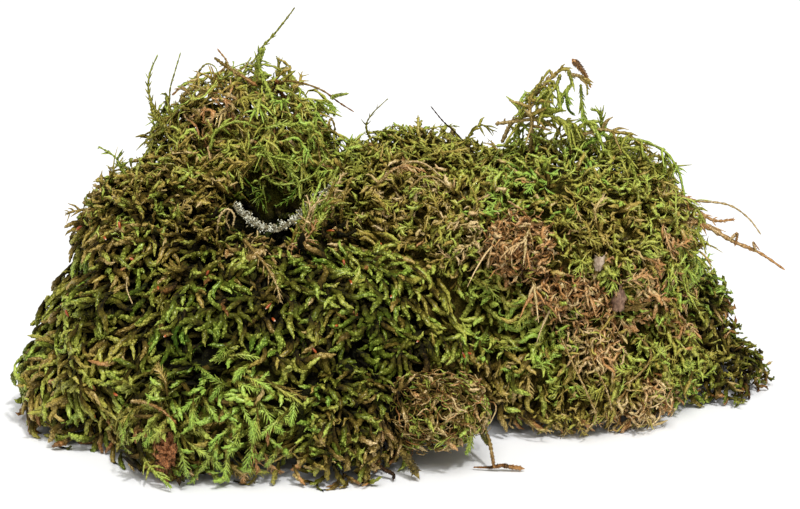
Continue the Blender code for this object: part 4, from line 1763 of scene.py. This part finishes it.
@dataclass
class LichenRim:
    """The grey-white crust along the front lip of the hollow: a lumpy rind covered in crumbs."""

    node: str = "lichen_crust"
    route: tuple = (
        (-52, -10, 70), (-49, -14, 68.4), (-46.5, -17, 67.3), (-43, -18.8, 66), (-39, -19, 65.2),
        (-35, -17.5, 66.2), (-31, -15, 68.4), (-27.5, -11.5, 71), (-24, -8, 73.5), (-21, -4, 75.5),
    )
    crumbs: int = 2200
    reach: float = 1.5 * MM
    crumb: Habit = Habit(
        mm(0.6, 1.6), mm(0.4, 0.8), mm(-0.5, 0.5), rise=(0.9, 0.5), disorder=2.5, turn=2.0, wave=1.0, rings=4,
        sides=3, scale=0.3,
    )
    rind_points: int = 7
    seed: int = 61

    def build(self) -> None:
        """Builds the rim: crumbs scattered about the route, thinning towards its far end."""
        rng = np.random.default_rng(self.seed)
        n = self.crumbs
        at = rng.uniform(size=n)
        fine = through(self.route, 400)
        middle = fine[(at * (len(fine) - 1)).astype(int)] * MM
        ways = unit(rng.normal(size=(n, 3)) + [0, -0.5, 0.8])
        lumps = Drift(1.7 * MM, self.seed + 1).at(middle + 0.8 * MM * ways)
        reach = self.reach * (0.7 + at - 1.3 * at**2) * (0.75 + 0.6 * lumps)
        places = middle + ways * (np.maximum(reach, 0.1 * MM) * rng.uniform(size=n) ** 0.4)[:, None]
        crusted = (rng.uniform(size=n) > 0.75 * smooth_step(at, 0.45, 1.0)) & (lumps > -1.1 + 0.9 * at)
        seeds = Seeds(places, ways, np.zeros(n)).kept(crusted)
        crumbs = self.crumb.grow(seeds, np.full(len(seeds.places), 0.5), rng)
        solid = self.route[: self.rind_points]
        rind = routed(solid, THIN, Tone.STRAW, (0.5, 0.5), rings=60, sides=7, scale=0.3)
        hang(put_piece("lichen_rind", [rind, crumbs], LichenFinish().material()), "lichen", self.node)


@dataclass(frozen=True)
class RimFronds:
    """Straw and green fronds that lean up from the lip and carry the far end of the lichen.

    They stand along a straight run, in millimetres, and rise more towards its end.
    """

    count: int = 16
    start: tuple[float, float, float] = (-33, -19, 59)
    run: tuple[float, float, float] = (14, 12, 9)
    scatter: float = 0.7
    tones: tuple[Tone, ...] = (Tone.STRAW, Tone.OLIVE_BROWN, Tone.OLIVE, Tone.YELLOW_GREEN)
    seed: int = 66

    def strands(self) -> list[Strands]:
        """The fronds, with their leaflets.

        Returns:
            The stems and the leaflets, frond by frond.
        """
        rng = np.random.default_rng(self.seed)
        stems = []
        for share in np.linspace(0, 1, self.count):
            root = np.array(self.start) + share * np.array(self.run) + rng.normal(size=3) * self.scatter
            rise = 7 + 4 * share + 2 * rng.uniform()
            leans = ((-1, -1, -2), (0, -1.5, 0.4 * rise), (1.5, 0.5, 0.8 * rise), (3, 2, rise))
            route = tuple(root + lean for lean in leans)
            tone = self.tones[rng.integers(len(self.tones))]
            stems.append(Stem(route, mm(1.3, 0.6), tone, (0.55, 0.9), RAGGED))
        return stems_of(tuple(stems), 7)


@dataclass(frozen=True)
class CapsuleFinish:
    """Spore capsules: orange-red, browner at the stalk, and white at an open mouth."""

    name: str = "spore capsule"

    def material(self) -> bpy.types.Material:
        """One ramp along the capsule, read from the palette map.

        Returns:
            The material.
        """
        nodes = Nodes(self.name)
        where = nodes.add("ShaderNodeUVMap", {"uv_map": PALETTE_MAP}, {})
        along = nodes.add("ShaderNodeSeparateXYZ", {}, {"Vector": where}, output="X")
        stops = [
            (0.1, from_screen(96, 38, 14)),
            (0.45, from_screen(168, 78, 28)),
            (0.78, from_screen(190, 110, 54)),
            (0.9, from_screen(240, 220, 196)),
        ]
        colour = nodes.add("ShaderNodeValToRGB", {"stops": stops}, {"Fac": along})
        nodes.set(Base_Color=colour, Roughness=0.35)
        nodes.bump(nodes.noise(0.4 * MM), 0.2, 0.1 * MM)
        return nodes.material


@dataclass
class Capsules:
    """Small orange-red capsules, scattered over the front of the cushions."""

    node: str = "front_cushion"
    density: float = 3.0e3
    west: float = -104 * MM
    heights: Span = mm(14, 66)
    open_share: float = 0.45
    seed: int = 71
    habit: Habit = Habit(
        mm(2.0, 2.9), mm(0.75, 1.0), mm(-1.6, -0.6), rise=(0.6, 0.3), disorder=1.6, turn=0.3, wave=0.1,
        rings=6, scale=0.0, flat=1.0, blunt=6,
    )

    def build(self, ground: Ground) -> None:
        """Builds them as one piece.

        Args:
            ground: the solids.
        """
        rng = np.random.default_rng(self.seed)
        seeds = ground.seeds(self.node, self.density, rng)
        x, y, z = seeds.places.T
        low, high = self.heights
        seeds = seeds.kept((y < 0) & (z > low) & (z < high) & (x > self.west))
        strands = self.habit.grow(seeds, np.full(len(seeds.places), 0.5), rng)
        n, rings = strands.radius.shape
        open_mouth = rng.uniform(size=(n, 1)) < self.open_share
        t = np.linspace(0, 1, rings)[None]
        strands.bright = 0.15 + 0.6 * t + 0.25 * open_mouth * smooth_step(t, 0.6, 1.0)
        strands.painted_glint = 0.0
        piece = put_piece("spore_capsules", [strands], CapsuleFinish().material())
        hang(piece, "leaf_litter")


@dataclass(frozen=True)
class Nugget:
    """A crumb of bark that fills its CAD node's box: a closed ball, longitude by latitude.

    Its radius at each place is the ellipsoid's, times one plus the lumps.
    """

    node: str = "bark_nugget"
    lump_height: float = 0.2
    lump_size: float = 1.9 * MM
    around: int = 44
    down: int = 30
    seed: int = 81

    def build(self) -> None:
        """Builds it, flat where it would reach below its node."""
        low, high = (np.array(corner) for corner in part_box(self.node))
        middle, half = (low + high) / 2, (high - low) / 2
        turn = np.arange(self.around) * 2 * np.pi / self.around
        tilt = np.linspace(0, np.pi, self.down + 2)[1:-1, None]
        wide = np.sin(tilt)
        ball = np.stack([wide * np.cos(turn), wide * np.sin(turn), np.cos(tilt) + 0 * turn], -1)
        ball = np.concatenate([ball.reshape(-1, 3), [[0, 0, 1.0], [0, 0, -1.0]]])
        skin = middle + ball * half
        coarse, fine = Drift(self.lump_size, self.seed), Drift(self.lump_size / 2.3, self.seed + 1)
        height = coarse.at(skin) + 0.7 * fine.at(skin)
        skin = middle + ball * half * (0.98 + self.lump_height * np.clip(height, -2, 1.2))[:, None]
        skin[:, 2] = np.maximum(skin[:, 2], low[2])
        a, b, c, d = cells(self.down, self.around, closed=True)
        sides = [np.stack(corners, -1).reshape(-1, 3) for corners in ((a, d, c), (a, c, b))]
        ring, top = np.arange(self.around), self.around * self.down
        caps = [fan(ring, top), fan(top - self.around + ring, top + 1, inwards=True)]
        piece = put_mesh("bark_nugget_grain", skin, np.concatenate([*sides, *caps]), None)
        bark = ScrapFinish("bark", from_screen(186, 122, 70), from_screen(80, 48, 24), 0.5 * MM, 0.8)
        piece.data.materials.append(bark.material())
        hang(piece, "bark", self.node)


@dataclass(frozen=True)
class LeafScrap:
    """A scrap of dead leaf: a curved sheet with a point at one end, a midrib and a cupped width."""

    node: str
    pale: Colour
    dull: Colour
    crown_point: float
    foot_point: float
    height: float = 0.8
    curl: float = 0.4
    thickness: float = 0.25 * MM

    def build(self) -> None:
        """Builds the scrap across its CAD node's box, and gives it its thickness.

        Across is the box's width, narrowed to a point at both ends by a sine; up is the box's
        height; and the sheet stands out by the curl, most in its middle, less a sharp midrib.
        """
        low, high = (np.array(corner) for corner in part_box(self.node))
        middle, half = (low + high) / 2, (high - low) / 2
        across, up = np.meshgrid(np.linspace(-1, 1, 9), np.linspace(-1, 1, 15))
        width = 1 - self.foot_point * smooth_step(-up, -0.2, 1.0)
        width = width - self.crown_point * smooth_step(up, -0.2, 1.0)
        ragged = 1 + 0.10 * np.sin(9 * up + 2 * across) * np.abs(across)
        x = half[0] * (0.8 * across * width * ragged + 0.15 * np.sin(2 * up))
        out = self.curl * (1 - across**2) * width - 0.18 * np.exp(-((across / 0.12) ** 2))
        y = half[1] * (0.15 * up - out)
        z = half[2] * self.height * up
        points = np.stack([x, y, z], -1).reshape(-1, 3) + middle
        a, b, c, d = cells(*across.shape, closed=False)
        faces = [np.stack(corners, -1).reshape(-1, 3) for corners in ((a, b, c), (a, c, d))]
        piece = put_mesh(f"{self.node}_leaf", points, np.concatenate(faces), None)
        wall = piece.modifiers.new("wall", "SOLIDIFY")
        wall.thickness = self.thickness
        wall.offset = 0
        finish = ScrapFinish(f"{self.node} finish", self.pale, self.dull, 1.3 * MM, 0.75)
        piece.data.materials.append(finish.material())
        hang(piece, "leaf_litter", self.node)


SCRAPS = (
    Nugget(),
    LeafScrap("litter_scale_upper", from_screen(184, 164, 140), from_screen(140, 118, 96), 0.1, 0.45),
    LeafScrap("litter_scale_lower", from_screen(146, 114, 90), from_screen(92, 66, 48), 0.85, 0.3),
)


def build_loose_stems(finish: bpy.types.Material) -> None:
    """Builds the loose strands, with the lace along the right ridge, and the crown's airy stems.

    Args:
        finish: their material.
    """
    loose = stems_of(LOOSE_STRANDS + RIDGE_LACE, 9) + RimFronds().strands()
    hang(put_piece("loose_dead_strands", loose, finish), "straw")
    hang(put_piece("crown_stray_stems", stems_of(CROWN_STRAYS, 8), finish), "pale_green")


@dataclass
class Stage:
    """The pale floor, the soft light and the camera."""

    eye_distance: float = 0.610
    eye_height_degrees: float = 20.0
    look_at: tuple[float, float, float] = (0.0, 0.0, 0.05)
    lens: float = 85.0
    half_floor: float = 3.0
    sky: float = 0.42
    suns: tuple[tuple[str, float, float, tuple[float, float, float]], ...] = (
        ("soft_key", 1.7, 36.0, (0.00, -0.50, 1.0)),
        ("small_key", 1.7, 5.0, (0.30, -0.50, 1.0)),
    )

    def build(self) -> None:
        """Makes the stage."""
        scene = bpy.context.scene
        scene.view_settings.view_transform = "Standard"
        half = self.half_floor
        points = np.array([[-half, -half, 0], [half, -half, 0], [half, half, 0], [-half, half, 0]])
        floor = put_mesh("floor", points, np.array([[0, 1, 2], [0, 2, 3]]), None)
        floor.data.materials.append(FloorFinish().material())
        world = bpy.data.worlds.new("studio")
        world.use_nodes = True
        background = world.node_tree.nodes["Background"]
        background.inputs["Color"].default_value = (1, 1, 1, 1)
        background.inputs["Strength"].default_value = self.sky
        scene.world = world
        for name, energy, width, way in self.suns:
            data = bpy.data.lights.new(name, "SUN")
            data.energy = energy
            data.angle = math.radians(width)
            lamp = bpy.data.objects.new(name, data)
            lamp.rotation_euler = Vector(way).to_track_quat("Z", "Y").to_euler()
            scene.collection.objects.link(lamp)
        angle = math.radians(self.eye_height_degrees)
        target = Vector(self.look_at)
        lens = bpy.data.cameras.new("camera")
        lens.lens = self.lens
        lens.sensor_width = 36.0
        lens.clip_start = 0.01
        camera = bpy.data.objects.new("camera", lens)
        camera.location = target + Vector((0, -math.cos(angle), math.sin(angle))) * self.eye_distance
        camera.rotation_euler = (math.pi / 2 - angle, 0, 0)
        scene.collection.objects.link(camera)
        scene.camera = camera


MASSES = (
    "front_cushion", "left_lobe", "front_tuft", "front_foot", "right_shoulder", "right_lobe", "crown_tuft",
    "back_cushion", "withered_patch", "straw_patch", "root_fibres", "thatch_pad",
)


def main() -> None:
    """Builds the clump's looks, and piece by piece."""
    logging.basicConfig(level=logging.INFO, format="%(message)s")
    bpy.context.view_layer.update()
    Stage().build()
    moss = MossFinish().material()
    ground = Ground(MASSES)
    cover = Cover()
    Felt(MASSES).build(cover, moss)
    for growth in GROWTHS:
        growth.build(ground, cover, moss)
    for number, sprig in enumerate(SPRIGS):
        sprig.build(moss, number)
    LichenRim().build()
    Capsules().build(ground)
    for scrap in SCRAPS:
        scrap.build()
    build_loose_stems(moss)


if __name__ == "__main__":
    main()
